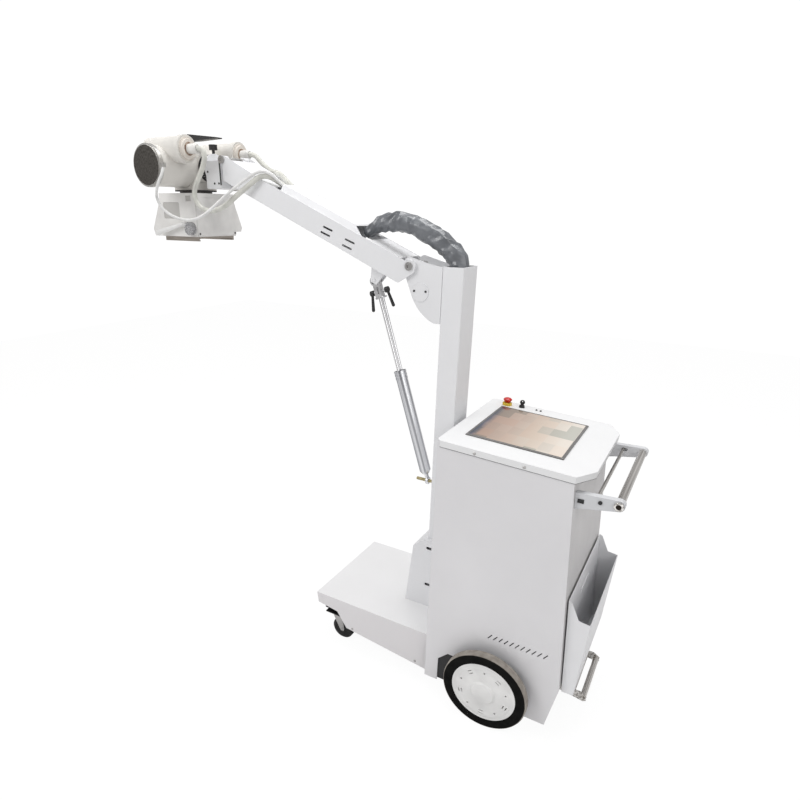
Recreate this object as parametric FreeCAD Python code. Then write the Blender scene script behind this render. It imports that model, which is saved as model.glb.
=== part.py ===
import FreeCAD, Part

import math
import os

# Mobile x-ray unit: wheeled cabinet, fixed column, sprung boom arm and tube head.
# Millimetres, +Z up, floor at z = 0. The tube head is towards -X and the push handle towards +X.
# The machine's left side is -Y. The origin lies on the floor under the middle of the whole unit.

# Sheet metal and general clearances
sheet = 3.0
seat_gap = 0.3
running_gap = 0.08

# Cabinet
cabinet_width = 560.0
cabinet_front_x = 433.0
cabinet_top_rear_x = 897.5
cabinet_low_rear_x = 957.0
cabinet_low_rear_z = 246.0
cabinet_foot_x = 925.0
cabinet_foot_z = 66.0
console_front_z = 1103.0
console_fall_deg = 3.33
console_rear_x = 949.0
console_lip = 24.0
console_rear_cut_x = 46.0
console_rear_cut_y = 85.0
console_front_cut = 14.0
floor_z = 190.0
louvre_count = 11
louvre_first_x = 688.0
louvre_pitch = 20.6
louvre_z = 371.0
louvre_length = 26.0
louvre_width = 4.0
louvre_lean_deg = 35.0
arch_front_x = 488.0
arch_rear_x = 850.0
arch_top_z = 215.0
arch_corner_z = 175.0

# Screen and console controls, placed along the sloping console
screen_front_x = 493.0
screen_length = 344.0
screen_width = 377.0
screen_offset_y = 10.0
screen_rim = 9.0
screen_height = 5.0
screen_depth = 30.0
stop_x = 503.0
stop_y = 238.0
stop_collar_radius = 19.0
stop_collar_height = 11.0
stop_button_radius = 17.0
stop_travel = 4.0
key_x = 562.0
key_y = 246.0
key_body_radius = 12.0
key_body_height = 9.0
lamp_x = 622.0
lamp_y = 248.0
lamp_radius = 4.0
lamp_pitch = 17.0

# Underframe
beam_centre_y = 190.0
beam_width = 40.0
beam_height = 50.0
beam_front_x = -110.0
beam_rear_x = 921.0
bearer_width = 40.0
axle_x = 702.5
spindle_radius = 12.0
axle_plate = 6.0

# Rear wheels
wheel_radius = 163.0
tyre_width = 34.0
wheel_gap = 31.0
tyre_crown = 6.0
hub_radius = 128.0
hub_cap_radius = 44.0
hub_cap_height = 7.0
hub_hole_circle = 92.0
hub_hole_radius = 4.0
hub_slot_length = 18.0
hub_slot_width = 4.0
hub_slot_pitch = 12.0
hub_pattern_count = 5

# Front casters
caster_x = -54.0
caster_radius = 52.0
caster_width = 28.0
caster_trail = 32.0
caster_plate_size = 80.0
caster_plate = 5.0
caster_pin_radius = 5.0

# Deck cover in front of the cabinet
deck_front_x = -125.0
deck_top_z = 244.0
deck_half_width = 251.5
skirt_front_z = 193.0
skirt_step_x = -18.0
skirt_step_z = 179.0
skirt_low_x = 30.0
skirt_low_z = 108.0
skirt_rear_z = 62.0

# Column, its foot cover and its head bracket
column_front_x = 320.0
column_depth = 80.0
column_width = 124.0
column_wall = 5.0
column_top_z = 1646.0
foot_plate = 12.0
foot_cover_width = 170.0
foot_cover_skirt = 12.0
foot_cover_front_x = 235.0
foot_cover_shoulder_x = 263.0
foot_cover_shoulder_z = 526.0
foot_cover_top_x = 312.0
foot_cover_top_z = 566.0
foot_slot_length = 46.0
foot_slot_width = 13.0
foot_slot_x = 346.0
foot_slot_zs = (353.0, 531.0)
bracket_plate = 4.0
bracket_disc_radius = 33.0
bracket_disc_height = 2.5
bracket_disc_x = 237.0
bracket_disc_z = 1555.0
bracket_low_z = 1450.0

# Arm, drawn level in its own frame and then tilted about the rear pivot
arm_pivot_x = 195.0
arm_pivot_z = 1643.0
arm_tip_x = -661.5
arm_tip_z = 2007.0
arm_width = 150.0
arm_plate = 3.0
arm_low = 72.0
arm_high = 9.0
arm_neck_u = 720.0
arm_cover_rear_u = 219.0
arm_cover_front_u = 622.0
arm_cover_height = 21.0
arm_cover_rear_rake = 52.0
arm_rear_plate_low_u = 45.0
arm_rear_plate_high_u = 188.0
arm_rear_corner_u = 16.0
arm_corner_radius = 14.0
arm_front_plate_length = 70.0
arm_bottom_rear_u = 60.0
arm_bottom_front_u = 860.0
arm_bolt_radius = 11.0
arm_bolt_head_radius = 14.5
arm_bolt_head = 6.0
pivot_corner_radius = 26.0
level_offset = 45.0
level_rod_radius = 8.0
vent_length = 46.0
vent_width = 7.0
vent_spots = ((364.5, -28.0), (368.5, -50.0), (258.5, -28.0), (262.5, -52.0))

# Gas strut between the column foot lug and the arm lug
strut_low_x = 276.0
strut_low_z = 796.0
strut_high_x = 20.0
strut_high_z = 1580.0
strut_tube_radius = 23.0
strut_tube_wall = 2.5
strut_tube_low = 32.0
strut_tube_high = 468.0
strut_rod_radius = 5.5
strut_rod_pitch = 23.0
strut_rod_low = 188.0
strut_pin_radius = 5.0
strut_eye_radius = 19.0
strut_eye_bore = 12.4
strut_eye_shift = 6.1
strut_eye_drop = 2.5
strut_block_low = 760.0
strut_ball_radius = 10.0
strut_ring_radius = 16.0
strut_ring_width = 12.0
strut_stud_radius = 6.5
strut_stud_reach = 50.0
strut_block_width = 24.0
lug_plate = 5.0
lever_length = 62.0
lever_radius = 5.0
lever_hub_radius = 11.0

# Tube head
head_x = -900.0
head_z = 1983.0
tube_radius = 75.0
tube_half_length = 243.0
tube_wall = 5.0
horn_y = 150.0
horn_rise = 60.0
horn_radius = 48.0
horn_front_x = -973.0
horn_flange_x = -794.0
horn_flange_radius = 51.0
horn_flange_width = 25.0
cable_ring_radius = 38.0
cable_ring_width = 12.0
plug_radius = 18.0
plug_length = 52.0
end_disc_radius = 73.0
end_disc_width = 7.0
clamp_band_radius = 79.0
clamp_band_width = 14.0
ring_width = 84.0
ring_wall = 6.0
collar_radius = 52.0
collar_front_x = -818.0
collar_grooves = 4
roll_shaft_radius = 20.0
bracket_box_front_x = -769.0
bracket_box_rear_x = -686.0
bracket_box_half_width = 60.0
bracket_box_top_z = 2006.0
bracket_box_low_z = 1902.0
bracket_box_wall = 5.0
knob_radius = 17.0
knob_x = -776.0
handle_boss_radius = 12.0
paddle_front_x = -914.0
paddle_rear_x = -739.0
paddle_low_z = 2088.0

# Collimator
collimator_front_x = -1010.0
collimator_rear_x = -792.0
collimator_width = 230.0
collimator_top_z = 1886.0
collimator_low_z = 1715.0
collimator_wall = 3.0
port_half = 62.0
aperture_half = 55.0
wing_reach = 60.0
wing_top_z = 1850.0
far_wing_reach = 45.0
knob_centre_x = -824.0
knob_centre_z = 1748.0
dial_radius = 26.0
dial_depth = 20.0
lever_hub_x = -865.0
lever_hub_z = 1766.0
lever_tip_x = -1010.0
lever_tip_z = 1729.0
lever_tip_y = -140.0
rail_depth = 18.0
rail_width = 12.0

# Push handle, bin and foot bar
handle_bar_x = 1033.0
handle_bar_z = 1002.0
handle_bar_radius = 13.5
handle_half_length = 262.0
handle_bracket_thickness = 24.0
handle_bracket_root = 56.0
handle_bracket_tip_radius = 18.0
release_bar_x = 966.0
release_bar_z = 1003.0
release_bar_radius = 6.0
release_travel = 8.0
bin_half_width = 258.0
bin_low_z = 230.0
bin_lip_z = 543.0
bin_notch_z = 611.0
bin_top_z = 617.0
bin_gap = 6.0
bin_wall = 2.0
foot_bar_x = 1025.0
foot_bar_z = 118.0
foot_bar_half_length = 127.0
foot_bar_radius = 11.0
foot_bar_inner_x = 985.0

# Boxes on the cabinet's floor, and screws
battery_front_x = 470.0
battery_length = 220.0
battery_width = 400.0
battery_height = 190.0
tank_front_x = 720.0
tank_length = 180.0
tank_width = 380.0
tank_height = 260.0
tank_lid = 6.0
tank_lid_lip = 8.0
skirt_screw_spots = ((62.0, 116.0), (373.0, 84.0))
console_screw_xs = (570.0, 740.0)

# Worked out from the values above
half_cabinet = cabinet_width / 2
console_slope = math.tan(math.radians(console_fall_deg))
arm_run = arm_pivot_x - arm_tip_x
arm_rise = arm_tip_z - arm_pivot_z
arm_length = math.hypot(arm_run, arm_rise)
arm_slope_deg = math.degrees(math.atan2(arm_rise, arm_run))
strut_run = strut_high_x - strut_low_x
strut_rise = strut_high_z - strut_low_z
strut_length = math.hypot(strut_run, strut_rise)
strut_tilt_deg = math.degrees(math.atan2(strut_run, strut_rise))
half_arm = arm_width / 2
half_arm_inside = half_arm - arm_plate
gusset_half = column_width / 2
horn_z = head_z + horn_rise

X_AXIS = FreeCAD.Vector(1, 0, 0)
Y_AXIS = FreeCAD.Vector(0, 1, 0)
Z_AXIS = FreeCAD.Vector(0, 0, 1)


def vec(x, y, z):
    return FreeCAD.Vector(x, y, z)


def block(x0, x1, y0, y1, z0, z1):
    return Part.makeBox(x1 - x0, y1 - y0, z1 - z0, vec(x0, y0, z0))


def cylinder(start, end, radius):
    along = end - start
    return Part.makeCylinder(radius, along.Length, start, along)


def pipe(start, end, outer, inner):
    return cylinder(start, end, outer).cut(cylinder(start, end, inner))


def cross_bar(x, z, radius, y0, y1):
    return cylinder(vec(x, y0, z), vec(x, y1, z), radius)


def prism_y(points, y0, y1):
    """A closed outline in x and z, made solid from y0 to y1."""
    corners = [vec(x, y0, z) for x, z in points]
    wire = Part.makePolygon(corners + corners[:1])
    return Part.Face(wire).extrude(vec(0, y1 - y0, 0))


def prism_z(points, z0, z1):
    """A closed outline in x and y, made solid from z0 to z1."""
    corners = [vec(x, y, z0) for x, y in points]
    wire = Part.makePolygon(corners + corners[:1])
    return Part.Face(wire).extrude(vec(0, 0, z1 - z0))


def turned(profile, centre, axis):
    """A solid of revolution. The profile is a list of (height along the axis, radius)."""
    corners = [vec(radius, 0, height) for height, radius in profile]
    wire = Part.makePolygon(corners + corners[:1])
    solid = Part.Face(wire).revolve(vec(0, 0, 0), Z_AXIS, 360)
    solid.Placement = FreeCAD.Placement(centre, FreeCAD.Rotation(Z_AXIS, axis))
    return solid


def both_sides(shape):
    """The shape and its mirror image across the machine's middle plane, as separate solids."""
    return Part.makeCompound([shape, mirrored(shape)])


def mirrored(shape):
    return shape.mirror(vec(0, 0, 0), Y_AXIS)


def slot_y(x, z, length, width, y0, y1, lean_deg=0.0):
    """A round-ended slot cutter through a panel that faces Y."""
    reach = (length - width) / 2
    core = block(-reach, reach, y0, y1, -width / 2, width / 2)
    ends = [cross_bar(side * reach, 0, width / 2, y0, y1) for side in (-1, 1)]
    cutter = core.fuse(ends)
    cutter.rotate(vec(0, 0, 0), Y_AXIS, lean_deg)
    cutter.translate(vec(x, 0, z))
    return cutter


def round_edges(shape, radius, chosen):
    """Rounds the edges that the test picks. The radius is kept under the wall it sits on."""
    edges = [edge for edge in shape.Edges if chosen(edge)]
    return shape.makeFillet(radius, edges)


def console_z(x):
    """Height of the console's upper surface."""
    return console_front_z - (x - cabinet_front_x) * console_slope


def on_console(shape, x, y):
    """Stands a shape that was drawn at the origin on the sloping console."""
    shape = shape.copy()
    shape.rotate(vec(0, 0, 0), Y_AXIS, console_fall_deg)
    shape.translate(vec(x, y, console_z(x)))
    return shape


def cabinet_rear_x(z):
    """Where the cabinet's back lies at a height."""
    if z < cabinet_low_rear_z:
        share = (z - cabinet_foot_z) / (cabinet_low_rear_z - cabinet_foot_z)
        return cabinet_foot_x + share * (cabinet_low_rear_x - cabinet_foot_x)
    top_z = console_z(cabinet_top_rear_x)
    share = (z - cabinet_low_rear_z) / (top_z - cabinet_low_rear_z)
    return cabinet_low_rear_x + share * (cabinet_top_rear_x - cabinet_low_rear_x)


# Underframe and wheels

def chassis_frame():
    low = floor_z - beam_height
    inner = beam_centre_y - beam_width / 2
    outer = beam_centre_y + beam_width / 2
    beam = block(beam_front_x, beam_rear_x, inner, outer, low, floor_z)
    hollow = block(beam_front_x - 1, beam_rear_x - sheet, inner + sheet, outer - sheet,
                   low + sheet, floor_z - sheet)
    beams = [beam.cut(hollow), mirrored(beam.cut(hollow))]
    cross_front = block(beam_front_x, beam_front_x + bearer_width, -inner, inner, low, floor_z)
    cross_rear = block(beam_rear_x - bearer_width, beam_rear_x, -inner, inner, low, floor_z)
    bearers = []
    for x in (beam_front_x + 10, skirt_low_x + 60):
        bearers.append(block(x, x + bearer_width, -outer, outer, floor_z, deck_top_z - sheet))
    floor = block(cabinet_front_x + sheet, beam_rear_x, -half_cabinet + sheet + seat_gap,
                  half_cabinet - sheet - seat_gap, floor_z, floor_z + sheet)
    plates = [caster_top_plate(side) for side in (-1, 1)]
    carriers = [axle_carrier(), mirrored(axle_carrier())]
    return beams[0].fuse([beams[1], cross_front, cross_rear, floor] + bearers + plates + carriers)


def caster_top_plate(side):
    reach = caster_plate_size / 2
    y = side * beam_centre_y
    top = floor_z - beam_height
    plate = block(caster_x - reach, caster_x + reach, y - reach, y + reach,
                  top - caster_plate, top)
    race = cylinder(vec(caster_x, y, top - caster_plate - 4), vec(caster_x, y, top), 24)
    return plate.fuse(race)


def axle_carrier():
    """Plate in the wheel arch, its web to the beam, and the wheel spindle, on the right side."""
    outer = half_cabinet - sheet - seat_gap
    inner = outer - axle_plate
    beam_side = beam_centre_y + beam_width / 2
    outline = [(arch_front_x - 8, 75), (arch_front_x - 8, arch_top_z + 20),
               (arch_rear_x + 8, arch_top_z + 20), (arch_rear_x + 8, 110),
               (axle_x + 60, 75)]
    plate = prism_y(outline, inner, outer)
    web = block(axle_x - 32, axle_x + 32, beam_side, inner, floor_z - beam_height, floor_z)
    wheel_end = half_cabinet + wheel_gap + tyre_width - 4
    spindle = cross_bar(axle_x, wheel_radius, spindle_radius, beam_side, wheel_end)
    return plate.fuse([web, spindle])


def tyre(side):
    """Solid tyre with a rounded tread and a recess for the hub disc."""
    inner_y = half_cabinet + wheel_gap
    half = tyre_width / 2
    crown = tyre_crown
    rim = hub_radius - 4
    profile = [(-half, rim), (-half, wheel_radius - crown), (-half + crown * 0.3, wheel_radius - crown * 0.3),
               (-half + crown, wheel_radius), (half - crown, wheel_radius),
               (half - crown * 0.3, wheel_radius - crown * 0.3), (half, wheel_radius - crown), (half, rim)]
    return turned(profile, vec(axle_x, side * (inner_y + half), wheel_radius), vec(0, side, 0))


def hub(side):
    """White wheel disc, dished on the inside, with five holes and five pairs of slots."""
    inner_y = half_cabinet + wheel_gap
    rim = hub_radius - 4 - seat_gap / 3
    bore = spindle_radius + running_gap
    face = tyre_width
    profile = [(4, bore), (4, 34), (face - 12, 34), (face - 12, rim - 8), (3, rim - 8), (3, rim),
               (face, rim), (face, hub_radius - 12), (face + 3, hub_radius - 22),
               (face + 3, hub_cap_radius + 5), (face + 3 + hub_cap_height, hub_cap_radius - 2),
               (face + 3 + hub_cap_height, 0), (face - 3, 0), (face - 3, bore)]
    disc = turned(profile, vec(axle_x, side * inner_y, wheel_radius), vec(0, side, 0))
    cutters = []
    for index in range(hub_pattern_count):
        turn = 360 / hub_pattern_count * index
        cutters.append(turned_about_axle(hub_hole(side), turn))
        cutters.extend(turned_about_axle(slot, turn + 180 / hub_pattern_count)
                       for slot in hub_slots(side))
    return disc.cut(cutters)


def hub_cut_reach(side):
    start = half_cabinet + wheel_gap + tyre_width - 20
    return sorted((side * start, side * (start + 40)))


def hub_hole(side):
    y0, y1 = hub_cut_reach(side)
    return cross_bar(axle_x, wheel_radius + hub_hole_circle, hub_hole_radius, y0, y1)


def hub_slots(side):
    y0, y1 = hub_cut_reach(side)
    top = wheel_radius + hub_hole_circle
    return [slot_y(axle_x, top + shift, hub_slot_length, hub_slot_width, y0, y1)
            for shift in (-hub_slot_pitch / 2, hub_slot_pitch / 2)]


def turned_about_axle(shape, degrees):
    shape = shape.copy()
    shape.rotate(vec(axle_x, 0, wheel_radius), Y_AXIS, degrees)
    return shape


def caster_fork(side):
    y = side * beam_centre_y
    top = floor_z - beam_height - caster_plate - 4 - seat_gap
    crown_low = top - 6
    axle = vec(caster_x + caster_trail, y, caster_radius)
    cheek_gap = caster_width / 2 + 2
    crown = cylinder(vec(caster_x, y, crown_low), vec(caster_x, y, top), 26)
    shelf = block(caster_x - 20, caster_x + 34, y - cheek_gap - 3, y + cheek_gap + 3,
                  crown_low, crown_low + 5)
    outline = [(caster_x - 20, top - 3), (caster_x + 34, top - 3),
               (axle.x + 12, caster_radius - 4), (axle.x + 6, caster_radius - 12),
               (axle.x - 6, caster_radius - 12), (axle.x - 12, caster_radius - 4)]
    cheeks = [prism_y(outline, y - cheek_gap - 3, y - cheek_gap),
              prism_y(outline, y + cheek_gap, y + cheek_gap + 3)]
    pin = cross_bar(axle.x, axle.z, caster_pin_radius, y - cheek_gap - 6, y + cheek_gap + 6)
    return crown.fuse([shelf, pin] + cheeks)


def caster_wheel(side):
    half = caster_width / 2
    bore = caster_pin_radius + running_gap
    profile = [(-half, bore), (-half, 16), (-half + 4, 20), (-half + 4, 34), (-half, 38),
               (-half, caster_radius - 4), (-half + 4, caster_radius), (half - 4, caster_radius),
               (half, caster_radius - 4), (half, 38), (half - 4, 34), (half - 4, 20), (half, 16),
               (half, bore)]
    centre = vec(caster_x + caster_trail, side * beam_centre_y, caster_radius)
    return turned(profile, centre, Y_AXIS)


# Deck, column and cabinet

def deck_cover():
    """Folded sheet platform with a stepped skirt, notched round the column's foot cover."""
    rear = cabinet_front_x - seat_gap
    outline = [(deck_front_x, deck_top_z), (deck_front_x + 7, skirt_front_z),
               (skirt_step_x, skirt_step_z), (skirt_low_x, skirt_low_z),
               (rear, skirt_rear_z), (rear, deck_top_z)]
    full = prism_y(outline, -deck_half_width, deck_half_width)
    inside = block(deck_front_x + 7 + sheet, rear + 1, -deck_half_width + sheet,
                   deck_half_width - sheet, 0, deck_top_z - sheet)
    gap = foot_cover_width / 2 + seat_gap
    notch = block(foot_cover_front_x - seat_gap, rear + 1, -gap, gap, deck_top_z - 20,
                  deck_top_z + 20)
    return full.cut([inside, notch])


def column_foot_cover():
    """Cover round the foot of the column, with a sloping front and two slots in each side."""
    half = foot_cover_width / 2
    rear = cabinet_front_x - seat_gap
    low = deck_top_z - foot_cover_skirt
    outline = [(foot_cover_front_x, low), (foot_cover_front_x, deck_top_z),
               (foot_cover_shoulder_x, foot_cover_shoulder_z),
               (foot_cover_top_x, foot_cover_top_z), (rear, foot_cover_top_z), (rear, low)]
    inner = [(foot_cover_front_x + sheet, low - 1), (foot_cover_front_x + sheet, deck_top_z),
             (foot_cover_shoulder_x + sheet, foot_cover_shoulder_z - 2),
             (foot_cover_top_x + sheet, foot_cover_top_z - sheet),
             (rear + 1, foot_cover_top_z - sheet), (rear + 1, low - 1)]
    shell = prism_y(outline, -half, half).cut(prism_y(inner, -half + sheet, half - sheet))
    gap = column_width / 2 + seat_gap
    hole = block(column_front_x - seat_gap, column_front_x + column_depth + seat_gap, -gap, gap,
                 foot_cover_top_z - 60, foot_cover_top_z + 10)
    slots = [slot_y(foot_slot_x, z, foot_slot_length, foot_slot_width, -half - 1, half + 1)
             for z in foot_slot_zs]
    return shell.cut([hole] + slots)


def column():
    """Rectangular tube on a foot plate, with the lug of the strut's lower end."""
    half = column_width / 2
    rear = column_front_x + column_depth
    base = floor_z + foot_plate
    outer_y = beam_centre_y + beam_width / 2
    post = block(column_front_x, rear, -half, half, base, column_top_z)
    post = round_edges(post, 4, lambda edge: abs(edge.tangentAt(edge.FirstParameter).z) > 0.9)
    bore = block(column_front_x + column_wall, rear - column_wall, -half + column_wall,
                 half - column_wall, base, column_top_z + 1)
    foot = block(column_front_x - 60, cabinet_front_x - seat_gap, -outer_y, outer_y,
                 floor_z, base)
    foot = foot.cut(block(column_front_x + column_wall, rear - column_wall, -40, 40, 0, base))
    level = level_lug(arm_pivot_x, arm_pivot_z - level_offset, column_front_x)
    return post.cut(bore).fuse([foot, strut_foot_stud(), level])


def strut_foot_stud():
    """Threaded stud through the column's front wall, with the ball that carries the strut."""
    stud = cylinder(vec(strut_low_x - strut_stud_reach, 0, strut_low_z),
                    vec(column_front_x + column_wall, 0, strut_low_z), strut_stud_radius)
    stud = stud.makeChamfer(1.5, [edge for edge in stud.Edges if edge.BoundBox.XMax < strut_low_x - 40])
    nut = cylinder(vec(column_front_x - 9, 0, strut_low_z), vec(column_front_x, 0, strut_low_z), 11)
    ball = Part.makeSphere(strut_ball_radius, vec(strut_low_x, 0, strut_low_z))
    return stud.fuse([nut, ball])


def column_head_bracket():
    """Two gusset plates on the column that carry the arm's rear pivot."""
    inside = gusset_half - bracket_plate
    boss = pivot_corner_radius + 6
    back = column_front_x - seat_gap
    outline = [(arm_pivot_x - 4, arm_pivot_z + boss - 1), (arm_pivot_x + 78, arm_pivot_z + 9),
               (back, arm_pivot_z + 1), (back, bracket_low_z),
               (column_front_x - 26, bracket_low_z)]
    hip = vec(bracket_disc_x - bracket_disc_radius - 4, 0, bracket_disc_z - 8)
    curve_mid = vec(bracket_disc_x - 4, 0, bracket_disc_z - 62)
    start = vec(outline[-1][0], 0, outline[-1][1])
    straight = [vec(x, 0, z) for x, z in outline]
    edges = [Part.makeLine(a, b) for a, b in zip(straight, straight[1:])]
    edges.append(Part.Arc(start, curve_mid, hip).toShape())
    front = vec(arm_pivot_x - boss + 2, 0, arm_pivot_z - 10)
    edges.append(Part.makeLine(hip, front))
    edges.append(Part.Arc(front, vec(arm_pivot_x - boss + 6, 0, arm_pivot_z + 18), straight[0]).toShape())
    face = Part.Face(Part.Wire(edges))
    near = face.extrude(vec(0, bracket_plate, 0))
    near.translate(vec(0, inside, 0))
    disc = cross_bar(bracket_disc_x, bracket_disc_z, bracket_disc_radius,
                     gusset_half, gusset_half + bracket_disc_height)
    screws = [cross_bar(bracket_disc_x + shift, bracket_disc_z + 4, 4,
                        gusset_half, gusset_half + bracket_disc_height + 2)
              for shift in (-23, 23)]
    washer = cross_bar(arm_pivot_x, arm_pivot_z, pivot_corner_radius - 4,
                       inside, half_arm_inside - seat_gap)
    plate = near.fuse([disc, washer] + screws)
    plate = plate.cut(cross_bar(arm_pivot_x, arm_pivot_z, arm_bolt_radius + running_gap, 0, 100))
    web = block(column_front_x - 26, back, -inside - 1, inside + 1, bracket_low_z,
                bracket_low_z + 6)
    return plate.fuse([mirrored(plate), web])


def level_lug(x, z, back_x):
    """Pair of ears and pin for one end of the levelling rod."""
    gap = 9.0
    tip = x + math.copysign(12, x - back_x)
    outline = [(back_x, z + 14), (tip, z + 11), (tip, z - 11), (back_x, z - 14)]
    ears = [prism_y(outline, gap, gap + 6), prism_y(outline, -gap - 6, -gap)]
    pin = cross_bar(x, z, strut_pin_radius, -gap - 8, gap + 8)
    return ears[0].fuse([ears[1], pin])


def side_panel():
    """Left side panel with slanted louvres, a wheel arch and a tapering rear edge."""
    front = cabinet_front_x
    top_gap = sheet + seat_gap
    outline = [(front, cabinet_foot_z), (front, console_z(front) - top_gap),
               (cabinet_top_rear_x, console_z(cabinet_top_rear_x) - top_gap),
               (cabinet_low_rear_x, cabinet_low_rear_z), (cabinet_foot_x, cabinet_foot_z),
               (arch_rear_x, cabinet_foot_z), (arch_rear_x, arch_top_z - 40),
               (arch_rear_x - 40, arch_top_z), (arch_front_x + 40, arch_top_z),
               (arch_front_x, arch_corner_z), (arch_front_x, cabinet_foot_z)]
    panel = prism_y(outline, -half_cabinet, -half_cabinet + sheet)
    slots = []
    for index in range(louvre_count):
        x = louvre_first_x + louvre_pitch * index
        slots.append(slot_y(x, louvre_z, louvre_length, louvre_width, -half_cabinet - 1,
                            -half_cabinet + sheet + 1, 90 + louvre_lean_deg))
    return panel.cut(slots)


def front_panel():
    inside = half_cabinet - sheet - seat_gap
    top = console_z(cabinet_front_x + sheet) - sheet - 1
    return block(cabinet_front_x, cabinet_front_x + sheet, -inside, inside, floor_z + sheet, top)


def back_panel():
    """Back of the cabinet. It follows the tapering side panels."""
    inside = half_cabinet - sheet - seat_gap
    top_z = console_z(cabinet_top_rear_x) - sheet - 1
    low_z = floor_z - beam_height
    outline = [(cabinet_rear_x(top_z), top_z), (cabinet_low_rear_x, cabinet_low_rear_z),
               (cabinet_rear_x(low_z), low_z), (cabinet_rear_x(low_z) - sheet, low_z),
               (cabinet_low_rear_x - sheet, cabinet_low_rear_z),
               (cabinet_rear_x(top_z) - sheet, top_z)]
    return prism_y(outline, -inside, inside)


def console_plate():
    """Folded console tray that caps the cabinet, with an opening for the screen."""
    half = half_cabinet + seat_gap + sheet
    rear = console_rear_x
    front = cabinet_front_x - seat_gap - sheet
    cut_x = console_rear_cut_x
    cut_y = console_rear_cut_y
    plan = [(front + console_front_cut, -half), (rear - cut_x, -half),
            (rear, -half + cut_y), (rear, half - cut_y),
            (rear - cut_x, half), (front + console_front_cut, half),
            (front, half - console_front_cut), (front, -half + console_front_cut)]
    tray = prism_z(plan, -console_lip, 0)
    wall = sheet
    slant = math.hypot(cut_x, cut_y)
    side_shift = wall * (slant - cut_x) / cut_y
    rear_shift = wall * (slant - cut_y) / cut_x
    inner = [(front + wall, -half + wall), (rear - cut_x - side_shift, -half + wall),
             (rear - wall, -half + cut_y + rear_shift), (rear - wall, half - cut_y - rear_shift),
             (rear - cut_x - side_shift, half - wall), (front + wall, half - wall)]
    corner = console_front_cut + 1
    corner_gap = block(front - 1, front + corner, -half - 1, -half + corner, -console_lip - 1, -wall)
    tray = tray.cut([prism_z(inner, -console_lip - 1, -wall), corner_gap, mirrored(corner_gap)])
    tray.translate(vec(-cabinet_front_x, 0, 0))
    tray = on_console(tray, cabinet_front_x, 0)
    opening = block(0, screen_length - 2 * screen_rim, -screen_width / 2 + screen_rim,
                    screen_width / 2 - screen_rim, -10, 10)
    opening.translate(vec(screen_rim, 0, 0))
    tray = tray.cut(on_console(opening, screen_front_x, screen_offset_y))
    stop_hole = cylinder(vec(0, 0, -10), vec(0, 0, 10), 11)
    return tray.cut([on_console(stop_hole, stop_x, stop_y), on_console(stop_hole, key_x, key_y)])


def touch_screen():
    """Screen unit: a bevelled frame on the console, the glass in it, and its case below."""
    length = screen_length
    half = screen_width / 2
    frame = block(0, length, -half, half, 0.2, screen_height)
    frame = round_edges(frame, 3, lambda edge: edge.BoundBox.ZMin > screen_height - 0.1)
    rim = screen_rim
    frame = frame.cut(block(rim, length - rim, -half + rim, half - rim, screen_height - 1.5, 20))
    case = block(rim + 1, length - rim - 1, -half + rim + 1, half - rim - 1, -screen_depth, 0.2)
    return on_console(frame.fuse(case), screen_front_x, screen_offset_y)


def screen_glass():
    rim = screen_rim + seat_gap
    half = screen_width / 2
    glass = block(rim, screen_length - rim, -half + rim, half - rim, screen_height - 1.5,
                  screen_height - 0.4)
    return on_console(glass, screen_front_x, screen_offset_y)


def console_controls():
    """The fixed bases of the controls: stop collar, key switch body and two lamps."""
    collar = turned([(0, 9), (0, stop_collar_radius), (stop_collar_height - 3, stop_collar_radius),
                     (stop_collar_height, stop_collar_radius - 3), (stop_collar_height, 9)],
                    vec(0, 0, 0), Z_AXIS)
    stem = pipe(vec(0, 0, -22), vec(0, 0, 0.5), 10.5, 8.0)
    stop_base = on_console(collar.fuse(stem), stop_x, stop_y)
    body = turned([(0, 0), (0, key_body_radius), (key_body_height, key_body_radius - 2),
                   (key_body_height, 8.5), (key_body_height - 3, 8.5), (key_body_height - 3, 0)],
                  vec(0, 0, 0), Z_AXIS)
    stem = cylinder(vec(0, 0, -20), vec(0, 0, 0.5), 10.5)
    key_base = on_console(body.fuse(stem), key_x, key_y)
    lamps = []
    for index in range(2):
        lens = Part.makeSphere(lamp_radius, vec(0, 0, 1))
        lens = lens.common(block(-9, 9, -9, 9, 0, 9))
        lamps.append(on_console(lens, lamp_x + index * lamp_pitch, lamp_y))
    return Part.makeCompound([stop_base, key_base] + lamps)


def stop_button():
    """Red mushroom head on a stem that slides in the collar."""
    low = stop_collar_height + stop_travel + 0.5
    cap = turned([(low, 0), (low, stop_button_radius - 4), (low + 5, stop_button_radius),
                  (low + 9, stop_button_radius), (low + 13, stop_button_radius - 6),
                  (low + 14, 0)], vec(0, 0, 0), Z_AXIS)
    stem = cylinder(vec(0, 0, -12), vec(0, 0, low + 1), 7.9)
    return on_console(cap.fuse(stem), stop_x, stop_y)


def key():
    """Flat key bow on a round plug."""
    seat = key_body_height - 3 + seat_gap
    plug = cylinder(vec(0, 0, seat), vec(0, 0, key_body_height + 1), 8.4 - seat_gap)
    bow = cylinder(vec(0, -1.3, key_body_height + 12), vec(0, 1.3, key_body_height + 12), 10)
    shank = block(-3, 3, -1.3, 1.3, key_body_height, key_body_height + 6)
    eye = cylinder(vec(0, -5, key_body_height + 16), vec(0, 5, key_body_height + 16), 2.5)
    return on_console(plug.fuse([bow, shank]).cut(eye), key_x, key_y)


# Push handle, bin and foot bar

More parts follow.
